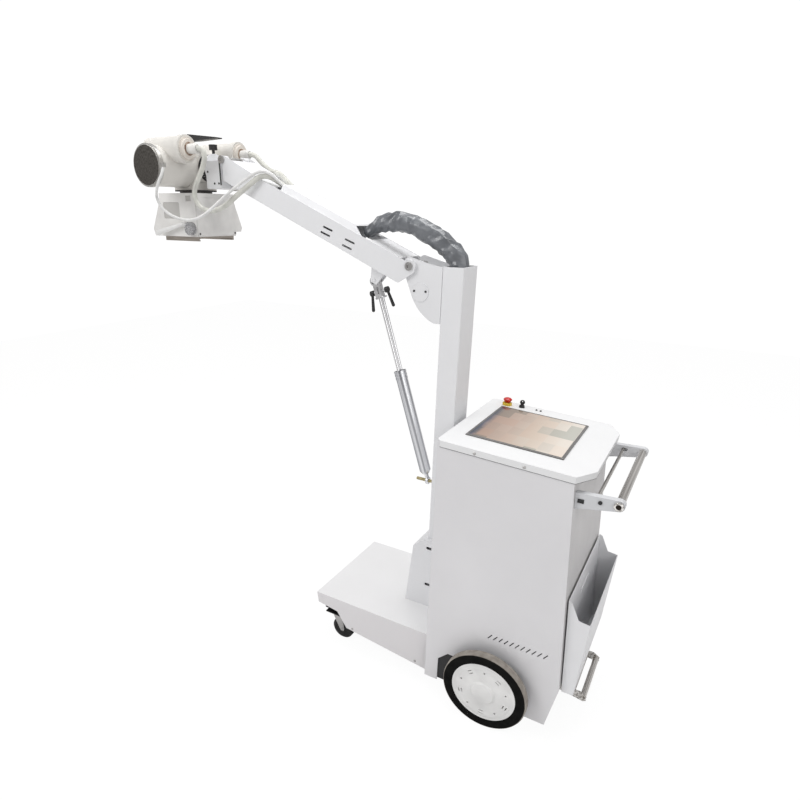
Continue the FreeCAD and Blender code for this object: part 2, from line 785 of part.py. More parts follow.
def handle_brackets():
    """Tapering brackets that carry the push bar. The left one holds the two switches."""
    outer = handle_half_length
    inner = outer - handle_bracket_thickness
    top = handle_bar_z + handle_bracket_tip_radius
    root_top = top - 4
    root_low = root_top - handle_bracket_root
    tip_low = handle_bar_z - handle_bracket_tip_radius
    outline = [(cabinet_rear_x(root_top) + seat_gap, root_top), (handle_bar_x, top),
               (handle_bar_x, tip_low), (cabinet_rear_x(root_low) + 36, root_low + 8),
               (cabinet_rear_x(root_low) + seat_gap, root_low)]
    arm = prism_y(outline, inner, outer)
    tip = cross_bar(handle_bar_x, handle_bar_z, handle_bracket_tip_radius, inner, outer)
    arm = arm.fuse(tip)
    arm = arm.cut(cross_bar(handle_bar_x, handle_bar_z, handle_bar_radius, 0, 400))
    travel_slot = slot_y(release_bar_x + release_travel / 2, release_bar_z,
                         2 * release_bar_radius + release_travel + 2,
                         2 * release_bar_radius + 1, inner - 1, inner + 10)
    right = arm.cut(travel_slot)
    left = mirrored(right)
    pocket = block(912, 932, -outer - 1, -outer + 8, handle_bar_z - 18, handle_bar_z - 4)
    button_bore = cross_bar(979, handle_bar_z - 1, 6.2, -outer - 1, -outer + 9)
    return Part.makeCompound([left.cut([pocket, button_bore]), right])


def rocker_switch():
    """Rocker that tips in its pocket in the left bracket."""
    outer = -handle_half_length
    outline = [(-6.2, 0.8), (-6.2, 2.6), (0, 1.4), (6.2, 2.6), (6.2, 0.8), (0, -1.2)]
    rocker = Part.Face(Part.makePolygon([vec(0, -d, z) for z, d in outline + outline[:1]]))
    rocker = rocker.extrude(vec(18.6, 0, 0))
    pin = cylinder(vec(0, 0, 0), vec(18.6, 0, 0), 1.2)
    rocker = rocker.fuse(pin)
    rocker.translate(vec(912.7, outer, handle_bar_z - 11))
    return rocker


def push_button():
    outer = -handle_half_length
    cap = cross_bar(979, handle_bar_z - 1, 6.1, outer - 4, outer + 5)
    return cap


def handle_bar():
    """Stainless tube with a closing cap on each end."""
    tube = pipe(vec(handle_bar_x, -handle_half_length - 2, handle_bar_z),
                vec(handle_bar_x, handle_half_length + 2, handle_bar_z), handle_bar_radius, 11.5)
    cap = turned([(0, 0), (0, handle_bar_radius + 1.5), (2, handle_bar_radius + 1.5),
                  (4, handle_bar_radius - 2), (4, 0)],
                 vec(handle_bar_x, handle_half_length + 2, handle_bar_z), Y_AXIS)
    return tube.fuse([cap, mirrored(cap)])


def release_bar():
    """Thin bar inside the push bar, sliding in the slots of the brackets."""
    end = handle_half_length - handle_bracket_thickness + 8
    return cross_bar(release_bar_x, release_bar_z, release_bar_radius, -end, end)


def cassette_bin():
    """Open bin on the cabinet's back, with notched side plates."""
    low_z = bin_low_z
    lip_z = bin_lip_z
    top_z = bin_top_z
    gap = bin_gap
    back_low = cabinet_rear_x(low_z + 20) + gap
    back_top = cabinet_rear_x(top_z) + gap
    outline = [(back_low, low_z), (back_top, top_z), (back_top + 12, bin_notch_z),
               (back_top + 42, lip_z + 6), (back_top + 82, lip_z), (back_low + 40, low_z)]
    full = prism_y(outline, -bin_half_width, bin_half_width)
    inner = [(back_low + bin_wall, low_z + bin_wall), (back_top + bin_wall, top_z + 1),
             (back_top + bin_wall + 10, top_z + 60), (back_top + 80 + 12, top_z + 60),
             (back_top + 82 - bin_wall, lip_z), (back_low + 40 - bin_wall, low_z + bin_wall)]
    shell = full.cut(prism_y(inner, -bin_half_width + bin_wall, bin_half_width - bin_wall))
    pads = []
    for z in (low_z + 60, top_z - 90):
        front = cabinet_rear_x(z) + seat_gap
        pads.append(block(front - 2, front + gap + 3, -60, 60, z, z + 20))
    seat = [(cabinet_rear_x(z) + seat_gap, z) for z in (low_z, cabinet_low_rear_z, top_z)]
    clip = prism_y(seat + [(back_top + 30, top_z), (back_low + 30, low_z)], -90, 90)
    pads = [pad.common(clip) for pad in pads]
    return shell.fuse(pads)


def foot_bar():
    """Two short tubes between brackets that hang below the underframe's rear end."""
    end = foot_bar_half_length
    root = beam_rear_x - bearer_width
    top = floor_z - beam_height
    outline = [(root, top), (foot_bar_x - 12, top), (foot_bar_x + 12, foot_bar_z + 6),
               (foot_bar_x + 12, foot_bar_z - 10), (foot_bar_x, foot_bar_z - 15),
               (root, top - 14)]
    bracket = prism_y(outline, end - 6, end)
    bolt = cross_bar(foot_bar_x, foot_bar_z - 2, 8, end, end + 6)
    tubes = [cross_bar(foot_bar_x, foot_bar_z - 2, foot_bar_radius, -end + 6, end - 6),
             cross_bar(foot_bar_inner_x, foot_bar_z + 6, foot_bar_radius - 2, -end + 6, end - 6)]
    half = bracket.fuse(bolt)
    return half.fuse([mirrored(half)] + tubes)


# Inside the cabinet

def battery_pack():
    base = floor_z + sheet
    front = battery_front_x
    rear = battery_front_x + battery_length
    half = battery_width / 2
    top = base + battery_height
    pack = block(front, rear, -half, half, base, top)
    pack = round_edges(pack, 6, lambda edge: abs(edge.tangentAt(edge.FirstParameter).z) > 0.9)
    grooves = [block(front - 1, rear + 1, share * half - 2, share * half + 2, top - 6, top + 1)
               for share in (-0.5, 0, 0.5)]
    return pack.cut(grooves)


def generator_tank():
    base = floor_z + sheet
    front = tank_front_x
    rear = tank_front_x + tank_length
    half = tank_width / 2
    top = base + tank_height
    tank = block(front, rear, -half, half, base, top)
    tank = round_edges(tank, 14, lambda edge: abs(edge.tangentAt(edge.FirstParameter).z) > 0.9)
    lid = block(front - tank_lid_lip, rear + tank_lid_lip, -half - tank_lid_lip,
                half + tank_lid_lip, top, top + tank_lid)
    middle = (front + rear) / 2
    sockets = [cylinder(vec(middle, side * half / 2, top + tank_lid),
                        vec(middle, side * half / 2, top + tank_lid + 34), 24) for side in (-1, 1)]
    return tank.fuse([lid] + sockets)


def panel_screws():
    """Button-head screws of the skirt, the side panels and the column foot cover."""
    screws = []
    for x, z in skirt_screw_spots:
        screws.append(screw_head(x, z, deck_half_width))
    for x in console_screw_xs:
        screws.append(screw_head(x, console_z(x) - 14, half_cabinet + seat_gap + sheet))
    near = Part.makeCompound(screws)
    return Part.makeCompound(screws + [mirrored(screw) for screw in screws])


def screw_head(x, z, face_y):
    profile = [(0, 0), (0, 5.5), (1.2, 5.2), (2.6, 3.2), (2.9, 0)]
    return mirrored(turned(profile, vec(x, face_y, z), Y_AXIS))


# Arm. u runs forward along the arm from the rear pivot and v runs up, square to it.

def arm_placed(shape):
    shape = shape.copy()
    shape.rotate(vec(0, 0, 0), Y_AXIS, arm_slope_deg)
    shape.translate(vec(arm_pivot_x, 0, arm_pivot_z))
    return shape


def arm_outline(points):
    """Turns (u, v) points into x and z of the level arm."""
    return [(-u, v) for u, v in points]


def arm_side_plate():
    """Left side plate, round at both pivots, with two pairs of vent slots."""
    lean = math.tan(math.radians(arm_slope_deg))
    front_u = arm_length - 1
    points = [(arm_rear_corner_u, -arm_low), (front_u - (arm_low - 3) * lean, -arm_low + 3),
              (front_u - 12 * lean, -12), (arm_length + 14, -7), (arm_length + 14, 7),
              (arm_length + 5, 15), (arm_length - 12, arm_high + 9),
              (arm_neck_u, arm_high), (20, arm_high + 1), (-10, arm_high + 15),
              (-pivot_corner_radius + 4, 12), (-pivot_corner_radius, -12)]
    plate = prism_y(arm_outline(points), -half_arm, -half_arm_inside)
    plate = round_edges(plate, arm_corner_radius, is_arm_rear_corner)
    cutters = [cross_bar(0, 0, arm_bolt_radius, -half_arm - 1, 0),
               cross_bar(-arm_length, 0, arm_bolt_radius, -half_arm - 1, 0)]
    for u, v in vent_spots:
        cutters.append(slot_y(-u, v, vent_length, vent_width, -half_arm - 1, -half_arm_inside + 1, -3))
    return plate.cut(cutters)


def is_arm_rear_corner(edge):
    middle = edge.BoundBox.Center
    return abs(middle.x + arm_rear_corner_u) < 0.1 and abs(middle.z + arm_low) < 0.1


def arm_frame():
    """Side plates, bottom plate, two top plates and the strut's lug, welded as one."""
    near = arm_side_plate()
    inside = half_arm_inside
    bottom_u = (arm_bottom_rear_u, arm_bottom_front_u)
    bottom = prism_y(arm_outline([(bottom_u[0], -arm_low), (bottom_u[0], -arm_low + 4),
                                  (bottom_u[1], -arm_low + 4), (bottom_u[1], -arm_low)]),
                     -inside, inside)
    rear_top = prism_y(arm_outline([(arm_rear_plate_low_u, arm_high - 4),
                                    (arm_rear_plate_high_u, arm_high - 4),
                                    (arm_rear_plate_high_u, arm_high),
                                    (arm_rear_plate_low_u, arm_high)]), -inside, inside)
    rear_u = arm_neck_u - arm_front_plate_length
    top = prism_y(arm_outline([(rear_u, arm_high - 4), (arm_neck_u, arm_high - 4),
                               (arm_length - 44, arm_high + 2), (arm_length - 44, arm_high + 6),
                               (arm_neck_u, arm_high), (rear_u, arm_high)]),
                  -inside, inside)
    frame = near.fuse([mirrored(near), bottom, rear_top, top])
    return arm_placed(frame).fuse(strut_arm_lug())


def strut_arm_lug():
    """Doubler plate below the arm with two ears and the strut's upper pin."""
    drop = arm_rise / arm_length
    run = arm_run / arm_length
    forward = (arm_pivot_x - strut_high_x) * run + (strut_high_z - arm_pivot_z) * drop
    down = -(arm_pivot_x - strut_high_x) * drop + (strut_high_z - arm_pivot_z) * run
    plate = prism_y(arm_outline([(forward - 62, -arm_low - 5), (forward - 62, -arm_low),
                                 (forward + 82, -arm_low), (forward + 82, -arm_low - 5)]), -46, 46)
    gap = strut_block_width / 2 + 1.5
    outline = arm_outline([(forward - 34, -arm_low - 4), (forward - 14, down - 12),
                           (forward + 14, down - 12), (forward + 34, -arm_low - 4)])
    ears = [prism_y(outline, gap, gap + lug_plate), prism_y(outline, -gap - lug_plate, -gap)]
    pin = cross_bar(-forward, down, strut_pin_radius, -gap - lug_plate - 3, gap + lug_plate + 3)
    return arm_placed(plate.fuse(ears + [pin]))


def arm_top_cover():
    """Raised cover over the cables, open at both ends, with a sloping rear edge."""
    half = half_arm_inside - 4
    low = arm_high - 3
    top = arm_high + arm_cover_height
    section = [(-half, low), (-half + 10, top), (half - 10, top), (half, low),
               (half - 3, low), (half - 12, top - sheet), (-half + 12, top - sheet),
               (-half + 3, low)]
    corners = [vec(-arm_cover_rear_u, y, z) for y, z in section]
    wire = Part.makePolygon(corners + corners[:1])
    cover = Part.Face(wire).extrude(vec(arm_cover_rear_u - arm_cover_front_u, 0, 0))
    bevel = prism_y(arm_outline([(arm_cover_rear_u - 5, low - 1), (arm_cover_rear_u - 5, top + 1),
                                 (arm_cover_rear_u + arm_cover_rear_rake, top + 1),
                                 (arm_cover_rear_u, low - 1)]),
                    -half - 1, half + 1)
    flange = block(-arm_cover_front_u, -arm_cover_rear_u, -half_arm_inside + seat_gap, -half + 4,
                   low - 2, low)
    cover = cover.cut(bevel).fuse([flange, mirrored(flange)])
    return arm_placed(cover)


def pivot_bolt(u):
    """Shaft with a socket head at each side of the arm."""
    shaft = cross_bar(-u, 0, arm_bolt_radius - running_gap, -half_arm - 1, half_arm + 1)
    head = cross_bar(-u, 0, arm_bolt_head_radius, half_arm, half_arm + arm_bolt_head)
    socket_depth = arm_bolt_head - 2
    flats = [vec(-u + 7 * math.cos(math.radians(60 * i)), half_arm + 2,
                 7 * math.sin(math.radians(60 * i))) for i in range(6)]
    socket = Part.Face(Part.makePolygon(flats + flats[:1])).extrude(vec(0, socket_depth + 1, 0))
    head = head.cut(socket)
    return shaft.fuse([head, mirrored(head)])


def arm_bolts():
    return arm_placed(Part.makeCompound([pivot_bolt(0), pivot_bolt(arm_length)]))


def levelling_rod():
    """Rod inside the arm, side by side with it, that keeps the head level."""
    rear = vec(arm_pivot_x, 0, arm_pivot_z - level_offset)
    front = vec(arm_tip_x, 0, arm_tip_z - level_offset)
    along = (front - rear).normalize()
    bar = cylinder(rear + along * 10, front - along * 10, level_rod_radius)
    eyes = [cross_bar(spot.x, spot.z, 14, -8, 8) for spot in (rear, front)]
    bores = [cross_bar(spot.x, spot.z, strut_pin_radius + running_gap, -9, 9)
             for spot in (rear, front)]
    return bar.fuse(eyes).cut(bores)


# Gas strut, drawn upright on its lower pin and then tilted

def strut_placed(shape):
    shape = shape.copy()
    shape.rotate(vec(0, 0, 0), Y_AXIS, strut_tilt_deg)
    shape.translate(vec(strut_low_x, 0, strut_low_z))
    return shape


def strut_tube():
    """Cover tube with a grooved collar on top and a ball socket at the bottom."""
    radius = strut_tube_radius
    inner = radius - strut_tube_wall
    low = strut_tube_low
    high = strut_tube_high
    profile = [(low, 0), (low, 14), (low + 14, radius), (high - 34, radius), (high - 34, radius + 1.5),
               (high - 26, radius + 1.5), (high - 26, radius - 0.5), (high - 22, radius - 0.5),
               (high - 22, radius + 1.5), (high - 14, radius + 1.5), (high - 14, radius - 0.5),
               (high - 10, radius - 0.5), (high - 10, radius + 1.5), (high, radius + 1.5),
               (high, inner), (low + 20, inner), (low + 20, 0)]
    tube = turned(profile, vec(0, 0, 0), Z_AXIS)
    neck = cylinder(vec(0, 0, strut_ball_radius + 2), vec(0, 0, low + 2), 8)
    socket = Part.makeSphere(strut_ball_radius + running_gap, vec(strut_low_x, 0, strut_low_z))
    return strut_placed(tube.fuse(neck)).fuse(strut_ring()).cut(socket)


def strut_ring():
    """Socket ring round the foot stud's ball."""
    half = strut_ring_width / 2
    reach = strut_ring_radius + 1
    ring = Part.makeSphere(strut_ring_radius, vec(strut_low_x, 0, strut_low_z))
    return ring.common(block(strut_low_x - half, strut_low_x + half, -reach, reach,
                             strut_low_z - reach, strut_low_z + reach))


def strut_rods():
    """Twin chrome rods that slide in the cover tube, with their end block."""
    half = strut_rod_pitch / 2
    rods = [cylinder(vec(0, y, strut_rod_low), vec(0, y, strut_block_low + 0.7), strut_rod_radius)
            for y in (-half, half)]
    piston = cylinder(vec(0, 0, strut_rod_low - 8), vec(0, 0, strut_rod_low),
                      strut_tube_radius - strut_tube_wall - seat_gap)
    return strut_placed(piston.fuse(rods))


def strut_end_block():
    """Aluminium block on the rods. Its wide eye gives the arm lug's pin lost motion."""
    half = strut_block_width / 2
    low = strut_block_low
    washer = turned([(low - 6, 0), (low - 6, 20), (low - 3, 23), (low, 23), (low, 0)],
                    vec(0, 0, 0), Z_AXIS)
    rods = [cylinder(vec(0, y, low - 8), vec(0, y, low + 1), strut_rod_radius)
            for y in (-strut_rod_pitch / 2, strut_rod_pitch / 2)]
    eye_x = -strut_eye_shift
    eye_z = strut_length - strut_eye_drop
    body = block(-17, 12, -half, half, low, eye_z - 8)
    eye = cross_bar(eye_x, eye_z, strut_eye_radius, -half, half)
    bore = cross_bar(eye_x, eye_z, strut_eye_bore, -half - 1, half + 1)
    slot = block(-3, 3, -half - 1, half + 1, low + 12, eye_z - 24)
    block_shape = washer.fuse([body, eye]).cut([bore, slot] + rods)
    studs = [cylinder(vec(side * 10, 0, low + 20), vec(side * 26, 0, low + 20), 5)
             for side in (-1, 1)]
    return strut_placed(block_shape.fuse(studs))


def clamp_lever(side):
    """Ratchet lever on a stud of the end block, hanging down."""
    height = strut_block_low + 20
    start = side * 26.3
    hub_piece = cylinder(vec(start, 0, height), vec(start + side * 14, 0, height), lever_hub_radius)
    foot = vec(start + side * 8, 0, height)
    tip = vec(start + side * 20, -4, height - lever_length)
    grip = Part.makeCone(lever_radius, lever_radius + 1.5, (tip - foot).Length, foot, tip - foot)
    ball = Part.makeSphere(lever_radius + 1.5, tip)
    return strut_placed(hub_piece.fuse([grip, ball]))


# Tube head

def head_bracket():
    """White box between arm and tube, with the tongue on the arm's front bolt."""
    half = bracket_box_half_width
    wall = bracket_box_wall
    box = block(bracket_box_front_x, bracket_box_rear_x, -half, half,
                bracket_box_low_z, bracket_box_top_z)
    box = round_edges(box, 6, lambda edge: abs(edge.tangentAt(edge.FirstParameter).y) > 0.9)
    hollow = block(bracket_box_front_x + wall + 6, bracket_box_rear_x - wall, -half + wall,
                   half - wall, bracket_box_low_z + wall, bracket_box_top_z - wall)
    shaft_bore = cylinder(vec(bracket_box_front_x - 30, 0, head_z),
                          vec(bracket_box_front_x + 60, 0, head_z),
                          roll_shaft_radius + running_gap)
    bearing = pipe(vec(bracket_box_front_x + wall, 0, head_z),
                   vec(bracket_box_front_x + 50, 0, head_z), roll_shaft_radius + 8,
                   roll_shaft_radius)
    cheek_in = 36.0
    cheek_out = 46.0
    outline = [(bracket_box_rear_x - 3, bracket_box_top_z - 8), (arm_tip_x, arm_tip_z + 14),
               (arm_tip_x + 15, arm_tip_z), (arm_tip_x + 15, arm_tip_z - 30),
               (bracket_box_rear_x - 3, bracket_box_low_z + 26)]
    cheek = prism_y(outline, cheek_in, cheek_out)
    cheek = cheek.fuse(cross_bar(arm_tip_x, arm_tip_z, 15, cheek_out, half_arm_inside - seat_gap))
    lug = level_lug(arm_tip_x, arm_tip_z - level_offset, bracket_box_rear_x - 3)
    screws = []
    for x, z in ((-758.0, 1966.0), (-700.0, 1922.0), (-724.0, 1922.0)):
        screws.append(cross_bar(x, z, 4, half, half + 2))
        screws.append(cross_bar(x, z, 4, -half - 2, -half))
    clamp = pipe(vec(bracket_box_front_x - 14, 0, head_z), vec(bracket_box_front_x, 0, head_z),
                 collar_radius + 2, roll_shaft_radius)
    body = box.cut(hollow).fuse([bearing, cheek, mirrored(cheek), lug, clamp] + screws)
    bolt_bore = cross_bar(arm_tip_x, arm_tip_z, arm_bolt_radius, -80, 80)
    return body.cut([shaft_bore, bolt_bore])


def lock_knob():
    """Lobed knob that clamps the roll collar."""
    base = head_z + collar_radius + 2
    stem = cylinder(vec(knob_x, 0, base), vec(knob_x, 0, base + 18), 6)
    cap = cylinder(vec(knob_x, 0, base + 14), vec(knob_x, 0, base + 34), knob_radius)
    lobes = []
    for index in range(6):
        angle = math.radians(60 * index)
        centre = vec(knob_x + (knob_radius + 3) * math.cos(angle),
                     (knob_radius + 3) * math.sin(angle), base)
        lobes.append(cylinder(centre, centre + vec(0, 0, 40), 6))
    return stem.fuse(cap.cut(lobes))


def roll_collar():
    """Black grooved collar and shaft that carry the tube in the head bracket."""
    start = collar_front_x
    end = bracket_box_front_x - 14 - seat_gap
    profile = [(0, 0), (0, collar_radius)]
    step = (end - start) / collar_grooves
    for index in range(collar_grooves):
        at = index * step
        profile += [(at + step - 3, collar_radius), (at + step - 3, collar_radius - 3)]
        profile += [(at + step, collar_radius - 3), (at + step, collar_radius)]
    profile = profile[:-1]
    profile += [(end - start, roll_shaft_radius), (end - start + 58, roll_shaft_radius),
                (end - start + 58, 0)]
    return turned(profile, vec(start, 0, head_z), X_AXIS)


def trunnion_ring():
    """Split clamp ring round the tube housing, with the foot of the roll collar."""
    half = ring_width / 2
    inner = tube_radius + 0.1
    outer = tube_radius + ring_wall
    ring = cylinder(vec(head_x, -half, head_z), vec(head_x, half, head_z), outer)
    foot = block(head_x + 40, collar_front_x, -half, half, head_z - 44, head_z + 44)
    ears = []
    for z_side in (-1, 1):
        ears.append(block(head_x - 14, head_x + 14, -half, half, head_z + z_side * outer - 8,
                          head_z + z_side * outer + 8))
    boss = cylinder(vec(head_x, 0, head_z + outer - 4), vec(head_x, 0, paddle_low_z),
                    handle_boss_radius)
    body = ring.fuse([foot, boss, ears[1]])
    tube_space = cylinder(vec(head_x, -half - 1, head_z), vec(head_x, half + 1, head_z), inner)
    split = block(head_x - 1, head_x + 1, -half - 1, half + 1, head_z - outer - 10, head_z)
    return body.cut([tube_space, split])


def paddle_handle():
    """Flat black handle on top of the ring, tapering to the rear."""
    mid = head_x
    outline = [(paddle_front_x, paddle_low_z + 4), (paddle_front_x + 8, paddle_low_z + 22),
               (mid, paddle_low_z + 26), (paddle_rear_x, paddle_low_z + 8),
               (paddle_rear_x, paddle_low_z + 4), (mid + 50, paddle_low_z)]
    outline.append((paddle_front_x + 12, paddle_low_z))
    blade = prism_y(outline, -19, 19)
    return round_edges(blade, 1.5, lambda edge: abs(edge.tangentAt(edge.FirstParameter).y) > 0.9)


def tube_housing():
    """Cast housing: a cylinder across the unit with a cable horn near each end."""
    reach = tube_half_length
    body = cross_bar(head_x, head_z, tube_radius, -reach, reach)
    horn = horn_shape()
    outer = body.fuse([horn, mirrored(horn)])
    port = block(head_x - port_half, head_x + port_half, -port_half, port_half,
                 collimator_top_z + 8, head_z)
    flange = cylinder(vec(head_x, 0, collimator_top_z + seat_gap),
                      vec(head_x, 0, collimator_top_z + 9), port_half + 6)
    outer = outer.fuse([port, flange])
    cavity = cross_bar(head_x, head_z, tube_radius - tube_wall, -reach - 1, reach + 1)
    ring_gap = tube_radius + ring_wall + 1
    half = ring_width / 2 + 1
    relief = cross_bar(head_x, head_z, ring_gap, -half, half)
    relief = relief.cut(cross_bar(head_x, head_z, tube_radius, -half - 1, half + 1))
    beam = cylinder(vec(head_x, 0, collimator_top_z - 1), vec(head_x, 0, head_z), 36)
    return outer.cut([cavity, relief, beam])


def horn_shape():
    """One horn: a domed front, a straight barrel along X and a flange at the rear."""
    length = horn_flange_x - horn_front_x
    profile = [(-26, 0), (-24, 20), (-14, 36), (0, horn_radius), (length, horn_radius),
               (length, horn_flange_radius), (length + horn_flange_width, horn_flange_radius),
               (length + horn_flange_width, 0)]
    horn = turned(profile, vec(horn_front_x, horn_y, horn_z), X_AXIS)
    saddle = prism_y([(horn_front_x + 8, horn_z), (horn_flange_x - 10, horn_z),
                      (head_x + 40, head_z + 10), (head_x - 40, head_z + 10)],
                     horn_y - 40, horn_y + 40)
    return horn.fuse(saddle)


def cable_plugs():
    """Screw ring and plug of each high-voltage cable."""
    start = horn_flange_x + horn_flange_width
    ring_profile = [(0, plug_radius - 4), (0, cable_ring_radius + 4), (5, cable_ring_radius + 4),
                    (5, cable_ring_radius), (cable_ring_width, cable_ring_radius - 3),
                    (cable_ring_width, plug_radius - 4)]
    ring = turned(ring_profile, vec(start, horn_y, horn_z), X_AXIS)
    plug_profile = [(0, 0), (0, plug_radius - 4), (cable_ring_width + 1, plug_radius - 4),
                    (cable_ring_width + 1, plug_radius), (plug_length, plug_radius),
                    (plug_length + 6, plug_radius - 4), (plug_length + 6, 0)]
    plug = turned(plug_profile, vec(start, horn_y, horn_z), X_AXIS)
    piece = ring.fuse(plug)
    return Part.makeCompound([piece, mirrored(piece)])


def end_caps():
    """End disc and clamp band at each end of the housing."""
    reach = tube_half_length
    disc = cross_bar(head_x, head_z, end_disc_radius, reach, reach + end_disc_width)
    band = pipe(vec(head_x, reach - clamp_band_width, head_z), vec(head_x, reach, head_z),
                clamp_band_radius, tube_radius + 0.1)
    lip = pipe(vec(head_x, reach, head_z), vec(head_x, reach + 3, head_z), clamp_band_radius,
               end_disc_radius - 2)
    bolt = block(head_x + 70, head_x + 90, reach - clamp_band_width, reach, head_z - 8, head_z + 8)
    bolt = bolt.cut(cross_bar(head_x, head_z, tube_radius + 0.1, reach - 20, reach + 1))
    cap = disc.fuse([band, lip, bolt])
    return Part.makeCompound([cap, mirrored(cap)])


# Collimator

def collimator_body():
    """Hollow body with an aperture, side wings and a recess in the left face."""
    front = collimator_front_x
    rear = collimator_rear_x
    half_y = collimator_width / 2
    wall = collimator_wall
    low = collimator_low_z
    top = collimator_top_z
    body = block(front, rear, -half_y, half_y, low, top)
    body = round_edges(body, 5, lambda edge: abs(edge.tangentAt(edge.FirstParameter).z) > 0.9)
    hollow = block(front + wall, rear - wall, -half_y + wall, half_y - wall, low + wall, top - wall)
    openings = [cylinder(vec(head_x, 0, top - 5), vec(head_x, 0, top + 1), 40),
                block(head_x - aperture_half, head_x + aperture_half, -aperture_half,
                      aperture_half, low - 1, low + wall + 1)]
    recess = block(front + 24, front + 121, -half_y - 1, -half_y + 1.6, low + 71, low + 135)
    recess = round_edges(recess, 6, lambda edge: abs(edge.tangentAt(edge.FirstParameter).y) > 0.9)
    slot = block(rear - 54, rear - 24, -half_y - 1, -half_y + 1.6, top - 31, top - 10)
    shell = body.cut([hollow, recess, slot] + openings)
    return shell.fuse([front_wing(), far_wing()])


def front_wing():
    """Wedge on the front face that flares outwards and down."""
    face = collimator_front_x
    outline = [(face + 1, wing_top_z), (face - 6, wing_top_z), (face - wing_reach, collimator_low_z + 30),
               (face - wing_reach + 9, collimator_low_z), (face + 1, collimator_low_z)]
    reach = collimator_width / 2 - 4
    wing = prism_y(outline, -reach, reach)
    inner = [(x + 3, z - 3) for x, z in outline]
    return wing.cut(prism_y(inner, -reach + 3, reach - 3))


def far_wing():
    """Shallower wedge on the right face."""
    face = collimator_width / 2
    outline = [(face - 1, wing_top_z), (face + 5, wing_top_z), (face + far_wing_reach, collimator_low_z + 32),
               (face + far_wing_reach - 8, collimator_low_z + 16), (face - 1, collimator_low_z + 16)]
    start = collimator_front_x + 10
    end = collimator_rear_x - 4
    corners = [vec(start, y, z) for y, z in outline]
    wire = Part.makePolygon(corners + corners[:1])
    return Part.Face(wire).extrude(vec(end - start, 0, 0))


def collimator_cover():
    """Screwed cover panel on the rear face."""
    face = collimator_rear_x
    half = collimator_width / 2 - 2
    panel = block(face, face + 2, -half, half, collimator_low_z + 4, collimator_top_z - 18)
    screws = []
    for y in (-half + 8, half - 8):
        for z in (collimator_low_z + 12, collimator_top_z - 30):
            screws.append(cylinder(vec(face + 2, y, z), vec(face + 4, y, z), 4))
    return panel.fuse(screws)


def collimator_window():
    """Clear plate over the aperture."""
    reach = aperture_half + 8
    low = collimator_low_z - 3
    return block(head_x - reach, head_x + reach, -reach, reach, low, collimator_low_z)


def collimator_knob():
    """Ribbed knob on the left face."""
    x = knob_centre_x
    z = knob_centre_z
    face = -collimator_width / 2
    radius = dial_radius
    knob = cross_bar(x, z, radius, face - dial_depth, face - seat_gap)
    ribs = []
    for index in range(24):
        angle = math.radians(15 * index)
        ribs.append(cross_bar(x + (radius + 0.6) * math.cos(angle),
                              z + (radius + 0.6) * math.sin(angle), 1.6, face - dial_depth - 1, face))
    return knob.cut(ribs)


def collimator_lever():
    """White lever handle in front of the left face."""
    face = -collimator_width / 2
    hub_piece = cross_bar(lever_hub_x, lever_hub_z, 10, face - 12, face - seat_gap)
    root = vec(lever_hub_x, face - 10, lever_hub_z)
    tip = vec(lever_tip_x, lever_tip_y, lever_tip_z)
    grip = Part.makeCone(7, 11, (tip - root).Length, root, tip - root)
    ball = Part.makeSphere(11, tip)
    return hub_piece.fuse([grip, ball])


def accessory_rails():
    """Slide rails below the collimator, with two closing bars."""
    front = collimator_front_x + 8
    rear = collimator_rear_x - 10
    half_y = collimator_width / 2 - 8
    top = collimator_low_z
    low = top - rail_depth
    rails = []
    for side in (-1, 1):
        y0, y1 = sorted((side * half_y, side * (half_y - rail_width)))
        rails.append(block(front, rear, y0, y1, low, top))
    for x in (front, rear - rail_width):
        rails.append(block(x, x + rail_width, -half_y, half_y, top - 8, top))
    grooves = [block(front - 1, rear + 1, side * (half_y - rail_width) - 4,
                     side * (half_y - rail_width) + 4, low + 5, low + 9) for side in (-1, 1)]
    return rails[0].fuse(rails[1:]).cut(grooves)


# Cables and sleeve. Each follows straight runs joined by tangent arcs.

near_cable_route = [
    (-710.2, -150, 2043), (-692, -150, 2043), (-678, -150, 2030), (-679, -149, 2005),
    (-697, -148, 1972), (-728, -146, 1934), (-757, -142, 1902), (-769, -137, 1870),
    (-757, -131, 1840), (-728, -126, 1821), (-690, -121, 1817), (-650, -116, 1826),
    (-611, -111, 1845), (-572, -106, 1871), (-532, -100, 1896), (-494, -94, 1919),
    (-460, -87, 1942), (-428, -66, 1944), (-399, -42, 1922), (-370, -31, 1901), (-346, -29, 1884),
]
far_cable_route = [
    (-708.9, 150, 2043), (-684, 150, 2043), (-655, 144, 2020), (-618, 131, 1998), (-578, 114, 1978),
    (-538, 96, 1968), (-497, 77, 1963), (-458, 52, 1949), (-425, 32, 1934), (-397, 20, 1917),
    (-369, 14, 1901), (-346, 12, 1884),
]
thin_cable_route = [
    (-815, -241, 1973), (-814.5, -247, 1955), (-823, -258, 1932), (-838, -262, 1903),
    (-850, -262, 1874), (-849, -254, 1844), (-834, -242, 1817), (-808, -228, 1797),
    (-776, -212, 1785), (-742, -196, 1782), (-708, -181, 1791), (-677, -165, 1811),
    (-645, -150, 1838), (-610, -137, 1866), (-572, -124, 1894), (-533, -113, 1919),
    (-494, -104, 1941), (-458, -93, 1959), (-424, -80, 1958), (-396, -62, 1935), (-370, -50, 1905),
    (-346, -47, 1886),
]
sleeve_route = [
    (-27, 0, 1742), (0, 0, 1761), (36, 0, 1778), (80, 0, 1787), (130, 0, 1786), (180, 0, 1775),
    (228, 0, 1757), (274, 0, 1732), (316, 0, 1703), (350, 0, 1670), (361, 0, 1632),
]
near_cable_radius = 10.0
far_cable_radius = 10.0
thin_cable_radius = 5.5
sleeve_radius = 30.0
sleeve_gathered_radius = 22.0
